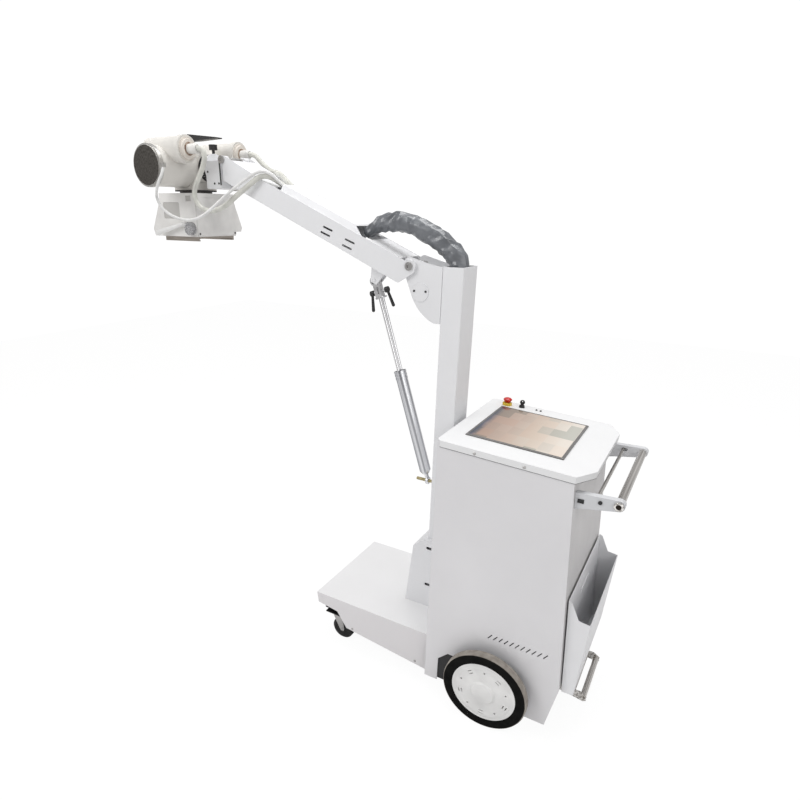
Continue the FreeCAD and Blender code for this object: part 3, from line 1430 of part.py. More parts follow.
sleeve_gather_length = 18.0


def cord_tube(route, radius, name):
    """A round cord along the route: straight runs joined by tangent arcs."""
    points = [vec(*spot) for spot in route]
    edges = []
    radii = []
    length = 0.0
    start = points[0]
    for before, corner, after in zip(points, points[1:], points[2:]):
        toward = (corner - before).normalize()
        away = (after - corner).normalize()
        turn = toward.getAngle(away)
        shorter = min((corner - before).Length, (after - corner).Length)
        cut = 0.45 * shorter
        bend = cut / math.tan(turn / 2)
        radii.append(bend)
        enter = corner - toward * cut
        leave = corner + away * cut
        middle_way = (away - toward).normalize()
        centre = corner + middle_way * (bend / math.cos(turn / 2))
        middle = centre - middle_way * bend
        edges.append(Part.LineSegment(start, enter).toShape())
        edges.append(Part.Arc(enter, middle, leave).toShape())
        length += (enter - start).Length + bend * turn
        start = leave
    edges.append(Part.LineSegment(start, points[-1]).toShape())
    length += (points[-1] - start).Length
    path = Part.Wire(edges)
    circle = Part.makeCircle(radius, points[0], (points[1] - points[0]).normalize())
    tube = path.makePipeShell([Part.Wire(circle)], True, True)
    share = tube.Volume / (math.pi * radius ** 2 * length)
    print(name, "length", round(length), "smallest bend", round(min(radii)),
          "volume share", round(share, 4))
    return tube


def near_cable():
    return cord_tube(near_cable_route, near_cable_radius, "near_cable")


def far_cable():
    return cord_tube(far_cable_route, far_cable_radius, "far_cable")


def thin_cable():
    return cord_tube(thin_cable_route, thin_cable_radius, "thin_cable")


def cable_sleeve():
    """Sleeve round the cables, gathered where it leaves the arm's cover."""
    tube = cord_tube(sleeve_route, sleeve_radius, "cable_sleeve")
    start = vec(*sleeve_route[0])
    along = (vec(*sleeve_route[1]) - start).normalize()
    round_it = Part.makeCylinder(sleeve_radius + 1, sleeve_gather_length, start, along)
    cone = Part.makeCone(sleeve_gathered_radius, sleeve_radius, sleeve_gather_length, start, along)
    return tube.cut(round_it.cut(cone))


def all_parts():
    return {
        "chassis_frame": chassis_frame(),
        "deck_cover": deck_cover(),
        "column_foot_cover": column_foot_cover(),
        "column": column(),
        "column_head_bracket": column_head_bracket(),
        "left_side_panel": side_panel(),
        "right_side_panel": mirrored(side_panel()),
        "front_panel": front_panel(),
        "back_panel": back_panel(),
        "console_plate": console_plate(),
        "touch_screen": touch_screen(),
        "screen_glass": screen_glass(),
        "console_controls": console_controls(),
        "stop_button": stop_button(),
        "key": key(),
        "handle_brackets": handle_brackets(),
        "handle_bar": handle_bar(),
        "release_bar": release_bar(),
        "rocker_switch": rocker_switch(),
        "push_button": push_button(),
        "cassette_bin": cassette_bin(),
        "foot_bar": foot_bar(),
        "battery_pack": battery_pack(),
        "generator_tank": generator_tank(),
        "panel_screws": panel_screws(),
        "left_tyre": tyre(-1),
        "left_hub": hub(-1),
        "right_tyre": tyre(1),
        "right_hub": hub(1),
        "left_caster_fork": caster_fork(-1),
        "left_caster_wheel": caster_wheel(-1),
        "right_caster_fork": caster_fork(1),
        "right_caster_wheel": caster_wheel(1),
        "arm_frame": arm_frame(),
        "arm_top_cover": arm_top_cover(),
        "arm_bolts": arm_bolts(),
        "levelling_rod": levelling_rod(),
        "strut_tube": strut_tube(),
        "strut_rods": strut_rods(),
        "strut_end_block": strut_end_block(),
        "front_clamp_lever": clamp_lever(-1),
        "rear_clamp_lever": clamp_lever(1),
        "head_bracket": head_bracket(),
        "lock_knob": lock_knob(),
        "roll_collar": roll_collar(),
        "trunnion_ring": trunnion_ring(),
        "paddle_handle": paddle_handle(),
        "tube_housing": tube_housing(),
        "cable_plugs": cable_plugs(),
        "end_caps": end_caps(),
        "collimator_body": collimator_body(),
        "collimator_cover": collimator_cover(),
        "collimator_window": collimator_window(),
        "collimator_knob": collimator_knob(),
        "collimator_lever": collimator_lever(),
        "accessory_rails": accessory_rails(),
        "near_cable": near_cable(),
        "far_cable": far_cable(),
        "thin_cable": thin_cable(),
        "cable_sleeve": cable_sleeve(),
    }


def main():
    os.makedirs("parts", exist_ok=True)
    for name, shape in all_parts().items():
        print(name, "solids", len(shape.Solids), "valid", shape.isValid(),
              "volume", round(shape.Volume / 1000))
        shape.exportStep("parts/" + name + ".step")


if __name__ == "__main__":
    main()
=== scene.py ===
import math
import random

import bmesh
import bpy
from mathutils import Matrix, Vector


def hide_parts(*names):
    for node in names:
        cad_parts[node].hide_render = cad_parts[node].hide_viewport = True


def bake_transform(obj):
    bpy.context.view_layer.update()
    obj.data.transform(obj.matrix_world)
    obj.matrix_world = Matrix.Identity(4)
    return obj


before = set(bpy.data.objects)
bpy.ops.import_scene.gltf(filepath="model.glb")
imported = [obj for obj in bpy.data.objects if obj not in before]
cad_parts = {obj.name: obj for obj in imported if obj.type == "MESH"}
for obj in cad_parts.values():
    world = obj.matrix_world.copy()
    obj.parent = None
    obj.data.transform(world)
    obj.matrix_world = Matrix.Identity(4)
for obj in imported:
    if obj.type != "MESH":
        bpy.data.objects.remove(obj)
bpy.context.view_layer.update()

# Camera, as the photograph was taken. Angles in degrees, lengths in metres.
CAMERA_PLACE = (1.183, -1.979, 1.818)
CAMERA_AZIMUTH = 30.8
CAMERA_ELEVATION = 22.8
CAMERA_ROLL = 0.5
CAMERA_LENS = 25.97
CAMERA_SHIFT = (0.0356, 0.0686)

# How much of the floor the camera sees as plain white. The rest shows soft shadows.
FLOOR_WHITE_SHARE = 0.9

# Lamps: name, place, what it shines at, size, power
LAMPS = (
    ("key", (-2.2, -3.4, 4.2), (0, 0, 1.0), 2.6, 78.0),
    ("fill", (3.6, -2.2, 2.6), (0.3, 0, 0.8), 2.4, 26.0),
    ("top", (0.4, 0.6, 5.0), (0.2, 0, 0.8), 3.0, 102.0),
)

# Paint colours
WHITE = (0.83, 0.835, 0.85)
CONSOLE_WHITE = (0.82, 0.825, 0.83)
# Painted shade: a darker copy of the white for the cabinet's side panels.
SIDE_SHADED_WHITE = (0.77, 0.765, 0.78)
# Painted light: a lighter copy of the white for the deck's top sheet. The skirt below it gets a
# darker, shaded copy.
DECK_LIT_WHITE = (0.86, 0.86, 0.865)
SKIRT_SHADED_WHITE = (0.745, 0.73, 0.74)
# Painted shade: a much darker copy of the white for the rear panel, under the console's overhang.
REAR_SHADED_WHITE = (0.62, 0.61, 0.61)
BEIGE = (0.74, 0.72, 0.68)
COLLIMATOR_BEIGE = (0.80, 0.79, 0.77)
# Black of the screws; also used as painted shade in the head bracket's slot.
SCREW_AND_SHADE_BLACK = (0.03, 0.03, 0.03)

# Most values of a noise node lie between these two
NOISE_LOW = 0.3
NOISE_HIGH = 0.7

# Places that the finishes go by: X and Z of axes and edges, in metres
AXLE = (0.7025, 0.163)
TREAD_RADIUS = 0.1585
TUBE_AXIS = (-0.9, 1.983)
PUSH_BAR_AXIS = (1.033, 1.002)
CONSOLE_FRONT = (0.433, 1.103)
CONSOLE_LIP = 0.024

# The console's fall towards the rear, as a slope, and the strut's lean in degrees
CONSOLE_FALL = 0.0582
STRUT_TILT = 18.08

# Cable routes, in metres: the points that steer each cable's curve
NEAR_CABLE_ROUTE = [
    (-0.7102, -0.150, 2.043), (-0.692, -0.150, 2.043), (-0.678, -0.150, 2.030),
    (-0.679, -0.149, 2.005), (-0.697, -0.148, 1.972), (-0.728, -0.146, 1.934),
    (-0.757, -0.142, 1.902), (-0.769, -0.137, 1.870), (-0.757, -0.131, 1.840),
    (-0.728, -0.126, 1.821), (-0.690, -0.121, 1.817), (-0.650, -0.116, 1.826),
    (-0.611, -0.111, 1.845), (-0.572, -0.106, 1.871), (-0.532, -0.100, 1.896),
    (-0.494, -0.094, 1.919), (-0.460, -0.087, 1.942), (-0.428, -0.066, 1.944),
    (-0.399, -0.042, 1.922), (-0.370, -0.031, 1.901), (-0.346, -0.029, 1.884),
]
FAR_CABLE_ROUTE = [
    (-0.7089, 0.150, 2.043), (-0.684, 0.150, 2.043), (-0.655, 0.144, 2.020),
    (-0.618, 0.131, 1.998), (-0.578, 0.114, 1.978), (-0.538, 0.096, 1.968),
    (-0.497, 0.077, 1.963), (-0.458, 0.052, 1.949), (-0.425, 0.032, 1.934),
    (-0.397, 0.020, 1.917), (-0.369, 0.014, 1.901), (-0.346, 0.012, 1.884),
]
THIN_CABLE_ROUTE = [
    (-0.815, -0.241, 1.973), (-0.8145, -0.247, 1.955), (-0.823, -0.258, 1.932),
    (-0.838, -0.262, 1.903), (-0.850, -0.262, 1.874), (-0.849, -0.254, 1.844),
    (-0.834, -0.242, 1.817), (-0.808, -0.228, 1.797), (-0.776, -0.212, 1.785),
    (-0.742, -0.196, 1.782), (-0.708, -0.181, 1.791), (-0.677, -0.165, 1.811),
    (-0.645, -0.150, 1.838), (-0.610, -0.137, 1.866), (-0.572, -0.124, 1.894),
    (-0.533, -0.113, 1.919), (-0.494, -0.104, 1.941), (-0.458, -0.093, 1.959),
    (-0.424, -0.080, 1.958), (-0.396, -0.062, 1.935), (-0.370, -0.050, 1.905),
    (-0.346, -0.047, 1.886),
]
SLEEVE_ROUTE = [
    (-0.027, 0.0, 1.742), (0.000, 0.0, 1.761), (0.036, 0.0, 1.778), (0.080, 0.0, 1.787),
    (0.130, 0.0, 1.786), (0.180, 0.0, 1.775), (0.228, 0.0, 1.757), (0.274, 0.0, 1.732),
    (0.316, 0.0, 1.703), (0.350, 0.0, 1.670), (0.361, 0.0, 1.632),
]
CABLE_RADIUS = 0.010
THIN_CABLE_RADIUS = 0.0055
CABLE_SIDES = 20

# Which point of its route each cable's loop ends and its lead begins at
NEAR_CABLE_SPLIT = 10
FAR_CABLE_SPLIT = 4
THIN_CABLE_SPLIT = 9

# Sleeve: where it is full and where it is gathered, and the mesh its creases start from
SLEEVE_FULL_RADIUS = 0.0395
SLEEVE_WIDEST_RADIUS = 0.0398
SLEEVE_GATHERED_SHARE = 0.38
SLEEVE_GATHERING = 0.017
SLEEVE_CLOSING_SHARE = 0.1
SLEEVE_CLOSING = 0.004
SLEEVE_CREASE_DEPTH = 0.010
SLEEVE_CREASE_RISE = 0.0024
SLEEVE_RINGS = 26
SLEEVE_SIDES = 12


# Material helpers

def new_material(name, colour, roughness, metallic=0.0):
    material = bpy.data.materials.new(name)
    material.use_nodes = True
    shader = material.node_tree.nodes["Principled BSDF"]
    shader.inputs["Base Color"].default_value = (*colour, 1.0)
    shader.inputs["Roughness"].default_value = roughness
    shader.inputs["Metallic"].default_value = metallic
    return material


class Graph:
    """Short names for adding and linking the nodes of one material."""

    def __init__(self, material):
        self.nodes = material.node_tree.nodes
        self.links = material.node_tree.links
        self.shader = self.nodes["Principled BSDF"]
        self.place = self.nodes.new("ShaderNodeTexCoord").outputs["Object"]

    def link(self, source, target):
        self.links.new(source, target)

    def scaled(self, stretch, tilt):
        """The object's own place, scaled along its axes or along axes tilted about Y."""
        mapping = self.nodes.new("ShaderNodeMapping")
        mapping.vector_type = "TEXTURE" if tilt else "POINT"
        if tilt:
            mapping.inputs["Rotation"].default_value = (0.0, math.radians(tilt), 0.0)
            stretch = tuple(1.0 / share for share in stretch)
        mapping.inputs["Scale"].default_value = stretch
        self.link(self.place, mapping.inputs["Vector"])
        return mapping.outputs["Vector"]

    def noise(self, scale, detail=3.0, stretch=None, tilt=0.0):
        node = self.nodes.new("ShaderNodeTexNoise")
        node.inputs["Scale"].default_value = scale
        node.inputs["Detail"].default_value = detail
        vector = self.scaled(stretch, tilt) if stretch else self.place
        self.link(vector, node.inputs["Vector"])
        return node.outputs["Fac"]

    def ramp(self, value, stops):
        node = self.nodes.new("ShaderNodeValToRGB")
        elements = node.color_ramp.elements
        while len(elements) < len(stops):
            elements.new(0.5)
        for element, (place, colour) in zip(elements, stops):
            element.position = place
            element.color = (*colour, 1.0)
        self.link(value, node.inputs["Fac"])
        return node.outputs["Color"]

    def remap(self, value, low, high, to_low, to_high):
        node = self.nodes.new("ShaderNodeMapRange")
        for name, number in (("From Min", low), ("From Max", high),
                             ("To Min", to_low), ("To Max", to_high)):
            node.inputs[name].default_value = number
        self.link(value, node.inputs["Value"])
        return node.outputs["Result"]

    def maths(self, operation, first, second=0.0):
        node = self.nodes.new("ShaderNodeMath")
        node.operation = operation
        for slot, value in enumerate((first, second)):
            if isinstance(value, (int, float)):
                node.inputs[slot].default_value = value
            else:
                self.link(value, node.inputs[slot])
        return node.outputs["Value"]

    def mix(self, factor, first, second, blend="MIX"):
        node = self.nodes.new("ShaderNodeMix")
        node.data_type = "RGBA"
        node.blend_type = blend
        if isinstance(factor, float):
            node.inputs["Factor"].default_value = factor
        else:
            self.link(factor, node.inputs["Factor"])
        for slot, colour in (("A", first), ("B", second)):
            socket = next(s for s in node.inputs if s.name == slot and s.type == "RGBA")
            if isinstance(colour, tuple):
                socket.default_value = (*colour, 1.0)
            else:
                self.link(colour, socket)
        return next(s for s in node.outputs if s.type == "RGBA")

    def axis(self, name):
        node = self.nodes.new("ShaderNodeSeparateXYZ")
        self.link(self.place, node.inputs["Vector"])
        return node.outputs[name]

    def diagonal(self, first, second):
        """Length of the diagonal over two sides at right angles."""
        squares = self.maths("MULTIPLY", first, first), self.maths("MULTIPLY", second, second)
        return self.maths("SQRT", self.maths("ADD", *squares))

    def distance(self, centre):
        """Distance from a line along Y through a place given by its X and Z."""
        across = self.maths("SUBTRACT", self.axis("X"), centre[0])
        up = self.maths("SUBTRACT", self.axis("Z"), centre[1])
        return self.diagonal(across, up)

    def both(self, first, second):
        return self.maths("MULTIPLY", first, second)

    def either(self, first, second):
        return self.maths("MAXIMUM", first, second)

    def above(self, value, limit):
        return self.maths("GREATER_THAN", value, limit)

    def below(self, value, limit):
        return self.maths("LESS_THAN", value, limit)

    def off_middle(self):
        """Distance from the object's middle plane."""
        return self.maths("ABSOLUTE", self.axis("Y"))

    def vary(self, noise, low, high):
        """A number that drifts from low to high with the noise."""
        return self.remap(noise, NOISE_LOW, NOISE_HIGH, low, high)

    def blotches(self, noise, dark, light):
        """A colour that drifts from dark to light with the noise."""
        return self.ramp(noise, [(NOISE_LOW, dark), (NOISE_HIGH, light)])

    def colour(self, source):
        self.link(source, self.shader.inputs["Base Color"])

    def roughness(self, source):
        self.link(source, self.shader.inputs["Roughness"])

    def bump(self, height, distance, edge_radius=0.0):
        """Surface relief, on edges softened by a small radius if one is given."""
        node = self.nodes.new("ShaderNodeBump")
        node.inputs["Distance"].default_value = distance
        self.link(height, node.inputs["Height"])
        if edge_radius:
            edge = self.nodes.new("ShaderNodeBevel")
            edge.samples = 4
            edge.inputs["Radius"].default_value = edge_radius
            self.link(edge.outputs["Normal"], node.inputs["Normal"])
        self.link(node.outputs["Normal"], self.shader.inputs["Normal"])


def tinted(colour, factor):
    return tuple(min(1.0, channel * factor) for channel in colour)


# Materials

def powder_coat(name, colour, soil=0.94, marks_and_shade=None):
    """Baked paint: a fine orange-peel skin and faint uneven soiling, with marks and painted shade if
    given.
    """
    material = new_material(name, colour, 0.42)
    g = Graph(material)
    clouds = g.noise(3.0, 5.0)
    paint = g.blotches(clouds, tinted(colour, soil), colour)
    if marks_and_shade:
        paint = marks_and_shade(g, paint)
    g.colour(paint)
    g.roughness(g.vary(g.noise(11.0, 4.0), 0.36, 0.5))
    g.bump(g.noise(900.0, 2.0), 0.00012, 0.0012)
    return material


def zinc_stud(g, paint):
    """Yellow-zinc stud in front of the column, where the strut stands."""
    column_front_x = 0.319
    stud_place = (0.276, 0.796)
    stud_reach = 0.055
    in_front = g.below(g.axis("X"), column_front_x)
    near_stud = g.below(g.distance(stud_place), stud_reach)
    zinc = g.blotches(g.noise(90.0, 4.0), (0.30, 0.24, 0.10), (0.58, 0.50, 0.27))
    return g.mix(g.both(in_front, near_stud), paint, zinc)


def bracket_screws(g, paint):
    """Two dark screws on the round plate of the column's bracket."""
    screw_radius = 0.0045
    plate_face_y = 0.0648
    first = g.below(g.distance((0.214, 1.559)), screw_radius)
    second = g.below(g.distance((0.260, 1.559)), screw_radius)
    raised = g.above(g.off_middle(), plate_face_y)
    return g.mix(g.both(g.either(first, second), raised), paint, SCREW_AND_SHADE_BLACK)


def lip_shadow(g, paint):
    """Painted shadow along the lower edge of the console's lip."""
    front_x, front_z = CONSOLE_FRONT
    edge_height = 0.0016
    fall = g.maths("MULTIPLY", g.maths("SUBTRACT", g.axis("X"), front_x), CONSOLE_FALL)
    level = g.maths("ADD", g.axis("Z"), fall)
    return g.mix(g.below(level, front_z - CONSOLE_LIP + edge_height), paint, (0.10, 0.10, 0.11))


def skirt_painted_shade(g, paint):
    """Painted shade: darker paint on the deck's skirt, below its top sheet."""
    top_sheet_z = 0.2435
    return g.mix(g.below(g.axis("Z"), top_sheet_z), paint, SKIRT_SHADED_WHITE)


def head_bracket_screws_and_slot_shade(g, paint):
    """Dark screws on the head bracket's sides, and painted shade in the slot at its rear edge."""
    slot_front_x = -0.694
    slot_bottom_z = 1.915
    side_face_y = 0.0600
    side = g.off_middle()
    proud = g.above(side, side_face_y + 0.0004)
    screws = g.both(proud, g.below(g.axis("X"), slot_front_x - 0.001))
    rear = g.above(g.axis("X"), slot_front_x)
    on_side = g.both(g.above(side, side_face_y - 0.0004), g.below(side, side_face_y + 0.0002))
    slot = g.both(g.both(rear, on_side), g.above(g.axis("Z"), slot_bottom_z))
    return g.mix(g.either(screws, slot), paint, SCREW_AND_SHADE_BLACK)


def tube_port(g, paint):
    """Near-black below the flange top, above the collimator: partly the dark mount, partly painted
    shade under the tube.
    """
    flange_top_z = 1.9
    return g.mix(g.below(g.axis("Z"), flange_top_z), paint, (0.055, 0.05, 0.048))


def collimator_frame_shade(g, paint):
    """Shade in the shallow frame of the collimator's near side."""
    floor_y = -0.1135
    half_band = 0.0007
    side = g.axis("Y")
    frame_floor = g.both(g.above(side, floor_y - half_band), g.below(side, floor_y + half_band))
    return g.mix(frame_floor, paint, (0.50, 0.49, 0.47))


def cover_screws(g, paint):
    """Black screws on the collimator's rear cover."""
    cover_face_x = -0.7897
    return g.mix(g.above(g.axis("X"), cover_face_x), paint, SCREW_AND_SHADE_BLACK)


def ring_shade(g, paint):
    """Worn brown ring round each cable plug, in a pale rim."""
    plug_y, plug_z = 0.15, 2.043
    rim_radius = 0.0245
    ring_face_x = -0.7565
    side = g.maths("SUBTRACT", g.off_middle(), plug_y)
    up = g.maths("SUBTRACT", g.axis("Z"), plug_z)
    reach = g.diagonal(side, up)
    on_ring = g.below(g.axis("X"), ring_face_x)
    outer = g.both(g.above(reach, rim_radius), on_ring)
    inner = g.both(g.below(reach, rim_radius), on_ring)
    worn = g.ramp(g.noise(90.0, 4.0), [(0.35, (0.20, 0.12, 0.08)), (0.65, (0.46, 0.36, 0.28))])
    return g.mix(outer, g.mix(inner, paint, worn), (0.72, 0.67, 0.61))


def cast_paint(name, colour, marks_and_shade=None):
    """Sprayed paint on a casting, with a coarser skin and grime in broad patches."""
    material = new_material(name, colour, 0.5)
    g = Graph(material)
    paint = g.ramp(g.noise(14.0, 6.0), [(0.25, tinted(colour, 0.86)), (0.6, colour)])
    if marks_and_shade:
        paint = marks_and_shade(g, paint)
    g.colour(paint)
    g.roughness(g.vary(g.noise(40.0, 3.0), 0.4, 0.62))
    g.bump(g.noise(420.0, 3.0), 0.0004, 0.0018)
    return material


def brushed_metal(name, colour, roughness, stretch):
    """Metal with fine grinding marks along the axis that has the smallest stretch."""
    material = new_material(name, colour, roughness, 1.0)
    g = Graph(material)
    marks = g.noise(60.0, 4.0, stretch)
    g.colour(g.blotches(marks, tinted(colour, 0.78), colour))
    g.roughness(g.vary(marks, roughness * 0.8, roughness * 1.35))
    g.bump(marks, 0.00008, 0.0006)
    return material


def push_bar_metal(name):
    """Bright round bar with painted reflection streaks along it and painted shade in its open end."""
    material = new_material(name, (0.8, 0.78, 0.75), 0.2, 1.0)
    g = Graph(material)
    reflection_streaks = g.noise(150.0, 3.0, (1.0, 0.01, 1.0))
    bar = g.ramp(reflection_streaks, [(0.36, (0.30, 0.28, 0.26)), (0.5, (0.70, 0.68, 0.65)),
                           (0.62, (0.92, 0.90, 0.87))])
    bracket_face_y = 0.2605
    opening_radius = 0.0085
    at_end = g.above(g.off_middle(), bracket_face_y)
    inside = g.below(g.distance(PUSH_BAR_AXIS), opening_radius)
    g.colour(g.mix(g.both(at_end, inside), bar, (0.03, 0.025, 0.02)))
    g.roughness(g.vary(reflection_streaks, 0.16, 0.3))
    g.bump(reflection_streaks, 0.00006, 0.0006)
    return material


def strut_metal_finish(name):
    """Drawn tube: painted highlights, in bands of light and dark grey along its own slant."""
    material = new_material(name, (0.6, 0.61, 0.63), 0.3, 0.9)
    g = Graph(material)
    highlight_bands = g.noise(62.0, 3.0, (1.0, 1.0, 0.008), -STRUT_TILT)
    g.colour(g.ramp(highlight_bands, [(0.34, (0.28, 0.29, 0.31)), (0.48, (0.56, 0.57, 0.60)),
                            (0.58, (0.86, 0.87, 0.89))]))
    g.roughness(g.vary(highlight_bands, 0.24, 0.4))
    return material


def chrome(name):
    material = new_material(name, (0.86, 0.86, 0.87), 0.08, 1.0)
    g = Graph(material)
    smears = g.noise(25.0, 4.0)
    g.colour(g.ramp(smears, [(0.2, (0.74, 0.74, 0.75)), (0.6, (0.88, 0.88, 0.89))]))
    g.roughness(g.vary(smears, 0.05, 0.16))
    return material


def moulded_plastic(name, colour, roughness):
    """Moulded plastic with a light grain and slight colour drift."""
    material = new_material(name, colour, roughness)
    g = Graph(material)
    drift = g.noise(9.0, 4.0)
    g.colour(g.blotches(drift, tinted(colour, 0.85), tinted(colour, 1.08)))
    g.roughness(g.vary(drift, roughness * 0.85, roughness * 1.2))
    g.bump(g.noise(700.0, 2.0), 0.00015, 0.0008)
    return material


def wheel_tyre(name):
    """Black sidewall and a dusty grey-brown tread."""
    material = new_material(name, (0.05, 0.05, 0.05), 0.8)
    g = Graph(material)
    edge = g.maths("ADD", g.distance(AXLE), g.remap(g.noise(60.0, 4.0), 0.0, 1.0, -0.001, 0.001))
    tread = g.remap(edge, TREAD_RADIUS, TREAD_RADIUS + 0.002, 0.0, 1.0)
    dust = g.blotches(g.noise(45.0, 6.0), (0.25, 0.225, 0.20), (0.40, 0.37, 0.33))
    wall = g.ramp(g.noise(30.0, 5.0), [(0.3, (0.002, 0.002, 0.002)), (0.8, (0.008, 0.008, 0.007))])
    g.colour(g.mix(tread, wall, dust))
    g.roughness(g.remap(tread, 0.0, 1.0, 0.85, 0.9))
    g.shader.inputs["Specular IOR Level"].default_value = 0.12
    g.bump(g.noise(300.0, 4.0), 0.0005)
    return material


def cable_jacket(name, colour):
    """Soft matt jacket with faint handling marks."""
    material = new_material(name, colour, 0.55)
    g = Graph(material)
    marks = g.noise(35.0, 6.0)
    g.colour(g.ramp(marks, [(0.25, tinted(colour, 0.78)), (0.7, tinted(colour, 1.05))]))
    g.roughness(g.vary(marks, 0.42, 0.65))
    g.bump(g.noise(260.0, 3.0), 0.0003)
    return material


def sleeve_cloth(name):
    """Thin silver-grey coated cloth with a dull shine and fine wrinkles."""
    material = new_material(name, (0.21, 0.22, 0.24), 0.34)
    g = Graph(material)
    patches = g.noise(16.0, 3.0)
    g.colour(g.ramp(patches, [(0.3, (0.095, 0.102, 0.113)), (0.55, (0.135, 0.145, 0.16)),
                              (0.8, (0.19, 0.205, 0.22))]))
    g.roughness(g.vary(patches, 0.28, 0.42))
    g.bump(g.noise(55.0, 3.0), 0.0022)
    g.shader.inputs["Specular IOR Level"].default_value = 0.9
    g.shader.inputs["Coat Weight"].default_value = 0.25
    g.shader.inputs["Coat Roughness"].default_value = 0.25
    return material


def reflection_patches(g):
    """Oblong patches of slightly different tones in the painted reflection, at a steady pitch along X
    and Y.
    """
    patches_per_metre_x = 23.0
    patches_per_metre_y = 13.0
    cells = g.nodes.new("ShaderNodeCombineXYZ")
    for axis, pitch in (("X", patches_per_metre_x), ("Y", patches_per_metre_y)):
        cell = g.maths("FLOOR", g.maths("MULTIPLY", g.axis(axis), pitch))
        g.link(cell, cells.inputs[axis])
    tones = g.nodes.new("ShaderNodeTexWhiteNoise")
    tones.noise_dimensions = "2D"
    g.link(cells.outputs["Vector"], tones.inputs["Vector"])
    return g.ramp(tones.outputs["Value"], [(0.30, (0.55, 0.60, 0.58)), (0.36, (0.86, 0.84, 0.82)),
                                           (0.6, (1.0, 0.98, 0.96)), (0.9, (1.0, 0.90, 0.84))])


def dark_screen(name):
    """Switched-off glass panel with a painted reflection of a room, in beige, pink and grey-green
    tones.
    """
    front_x = 0.493
    rear_x = 0.837
    material = new_material(name, (0.5, 0.42, 0.36), 0.06)
    g = Graph(material)
    wobble = g.remap(g.noise(9.0, 3.0), 0.0, 1.0, -0.012, 0.012)
    along = g.remap(g.maths("ADD", g.axis("X"), wobble), front_x, rear_x, 0.0, 1.0)
    room = g.ramp(along, [(0.03, (0.03, 0.045, 0.10)), (0.10, (0.38, 0.27, 0.21)),
                          (0.35, (0.50, 0.39, 0.32)), (0.60, (0.62, 0.55, 0.47)),
                          (0.90, (0.80, 0.75, 0.68))])
    g.colour(g.mix(0.75, room, reflection_patches(g), "MULTIPLY"))
    g.roughness(g.vary(g.noise(18.0, 4.0), 0.03, 0.12))
    g.shader.inputs["Coat Weight"].default_value = 0.6
    g.shader.inputs["Coat Roughness"].default_value = 0.03
    return material


def clear_plate(name):
    material = new_material(name, (0.9, 0.93, 0.93), 0.08)
    g = Graph(material)
    g.roughness(g.vary(g.noise(60.0, 4.0), 0.04, 0.14))
    g.colour(g.blotches(g.noise(8.0, 3.0), (0.86, 0.90, 0.90), (0.93, 0.95, 0.95)))
    g.shader.inputs["Transmission Weight"].default_value = 0.7
    g.shader.inputs["IOR"].default_value = 1.49
    return material


def two_finishes(name, place, first, second, roughness, marks_and_shade=None):
    """Two paints on one piece, the second one past a place along X, with marks if given."""
    material = new_material(name, first, roughness)
    g = Graph(material)
    past = g.above(g.axis("X"), place)
    front = g.blotches(g.noise(30.0, 5.0), tinted(first, 0.85), first)
    rear = g.blotches(g.noise(30.0, 5.0), tinted(second, 0.85), second)
    paint = g.mix(past, front, rear)
    if marks_and_shade:
        paint = marks_and_shade(g, paint)
    g.colour(paint)
    g.roughness(g.vary(g.noise(40.0, 3.0), roughness * 0.8, roughness * 1.2))
    g.bump(g.noise(500.0, 2.0), 0.0002, 0.0008)
    return material


def knurled_knob(name):
    """Grey pressed knob face with a worn, speckled grip."""
    material = new_material(name, (0.4, 0.4, 0.41), 0.4, 0.3)
    g = Graph(material)
    speckle = g.noise(260.0, 2.0)
    g.colour(g.ramp(speckle, [(0.38, (0.10, 0.10, 0.105)), (0.52, (0.40, 0.40, 0.41)),
                              (0.66, (0.75, 0.75, 0.76))]))
    g.bump(speckle, 0.0006)
    return material


def end_cap_finish(name):
    """Dark speckled end disc inside a bright clamp band."""
    material = new_material(name, (0.6, 0.6, 0.6), 0.35, 1.0)
    g = Graph(material)
    disc_radius = 0.0722
    outside = g.above(g.distance(TUBE_AXIS), disc_radius)
    marks = g.noise(240.0, 4.0, (1.0, 1.0, 0.5))
    dark = g.ramp(marks, [(0.34, (0.07, 0.065, 0.058)), (0.66, (0.15, 0.14, 0.128))])
    bright = g.blotches(marks, (0.50, 0.49, 0.47), (0.66, 0.65, 0.63))
    g.colour(g.mix(outside, dark, bright))
    g.roughness(g.vary(marks, 0.3, 0.48))
    g.bump(marks, 0.00008, 0.0006)
    return material


def collar_finish(name):
    """Black collar with a ring of white tick marks."""
    material = new_material(name, (0.02, 0.02, 0.02), 0.4)
    g = Graph(material)
    tick_count = 36
    tick_share = 0.16
    scale_front_x = -0.8045
    scale_rear_x = -0.7965
    up = g.maths("SUBTRACT", g.axis("Z"), TUBE_AXIS[1])
    angle = g.maths("ARCTAN2", g.axis("Y"), up)
    turns = g.maths("FRACT", g.maths("MULTIPLY", angle, tick_count / math.tau))
    scale = g.both(g.above(g.axis("X"), scale_front_x), g.below(g.axis("X"), scale_rear_x))
    ticks = g.both(g.below(turns, tick_share), scale)
    g.colour(g.mix(ticks, (0.02, 0.02, 0.021), (0.7, 0.7, 0.7)))
    g.roughness(g.vary(g.noise(60.0, 4.0), 0.3, 0.5))
    g.bump(g.noise(600.0, 2.0), 0.0002, 0.0006)
    return material


def set_finish(piece, material):
    if not piece.data.materials:
        piece.data.materials.append(material)
    for slot in piece.material_slots:
        slot.material = material


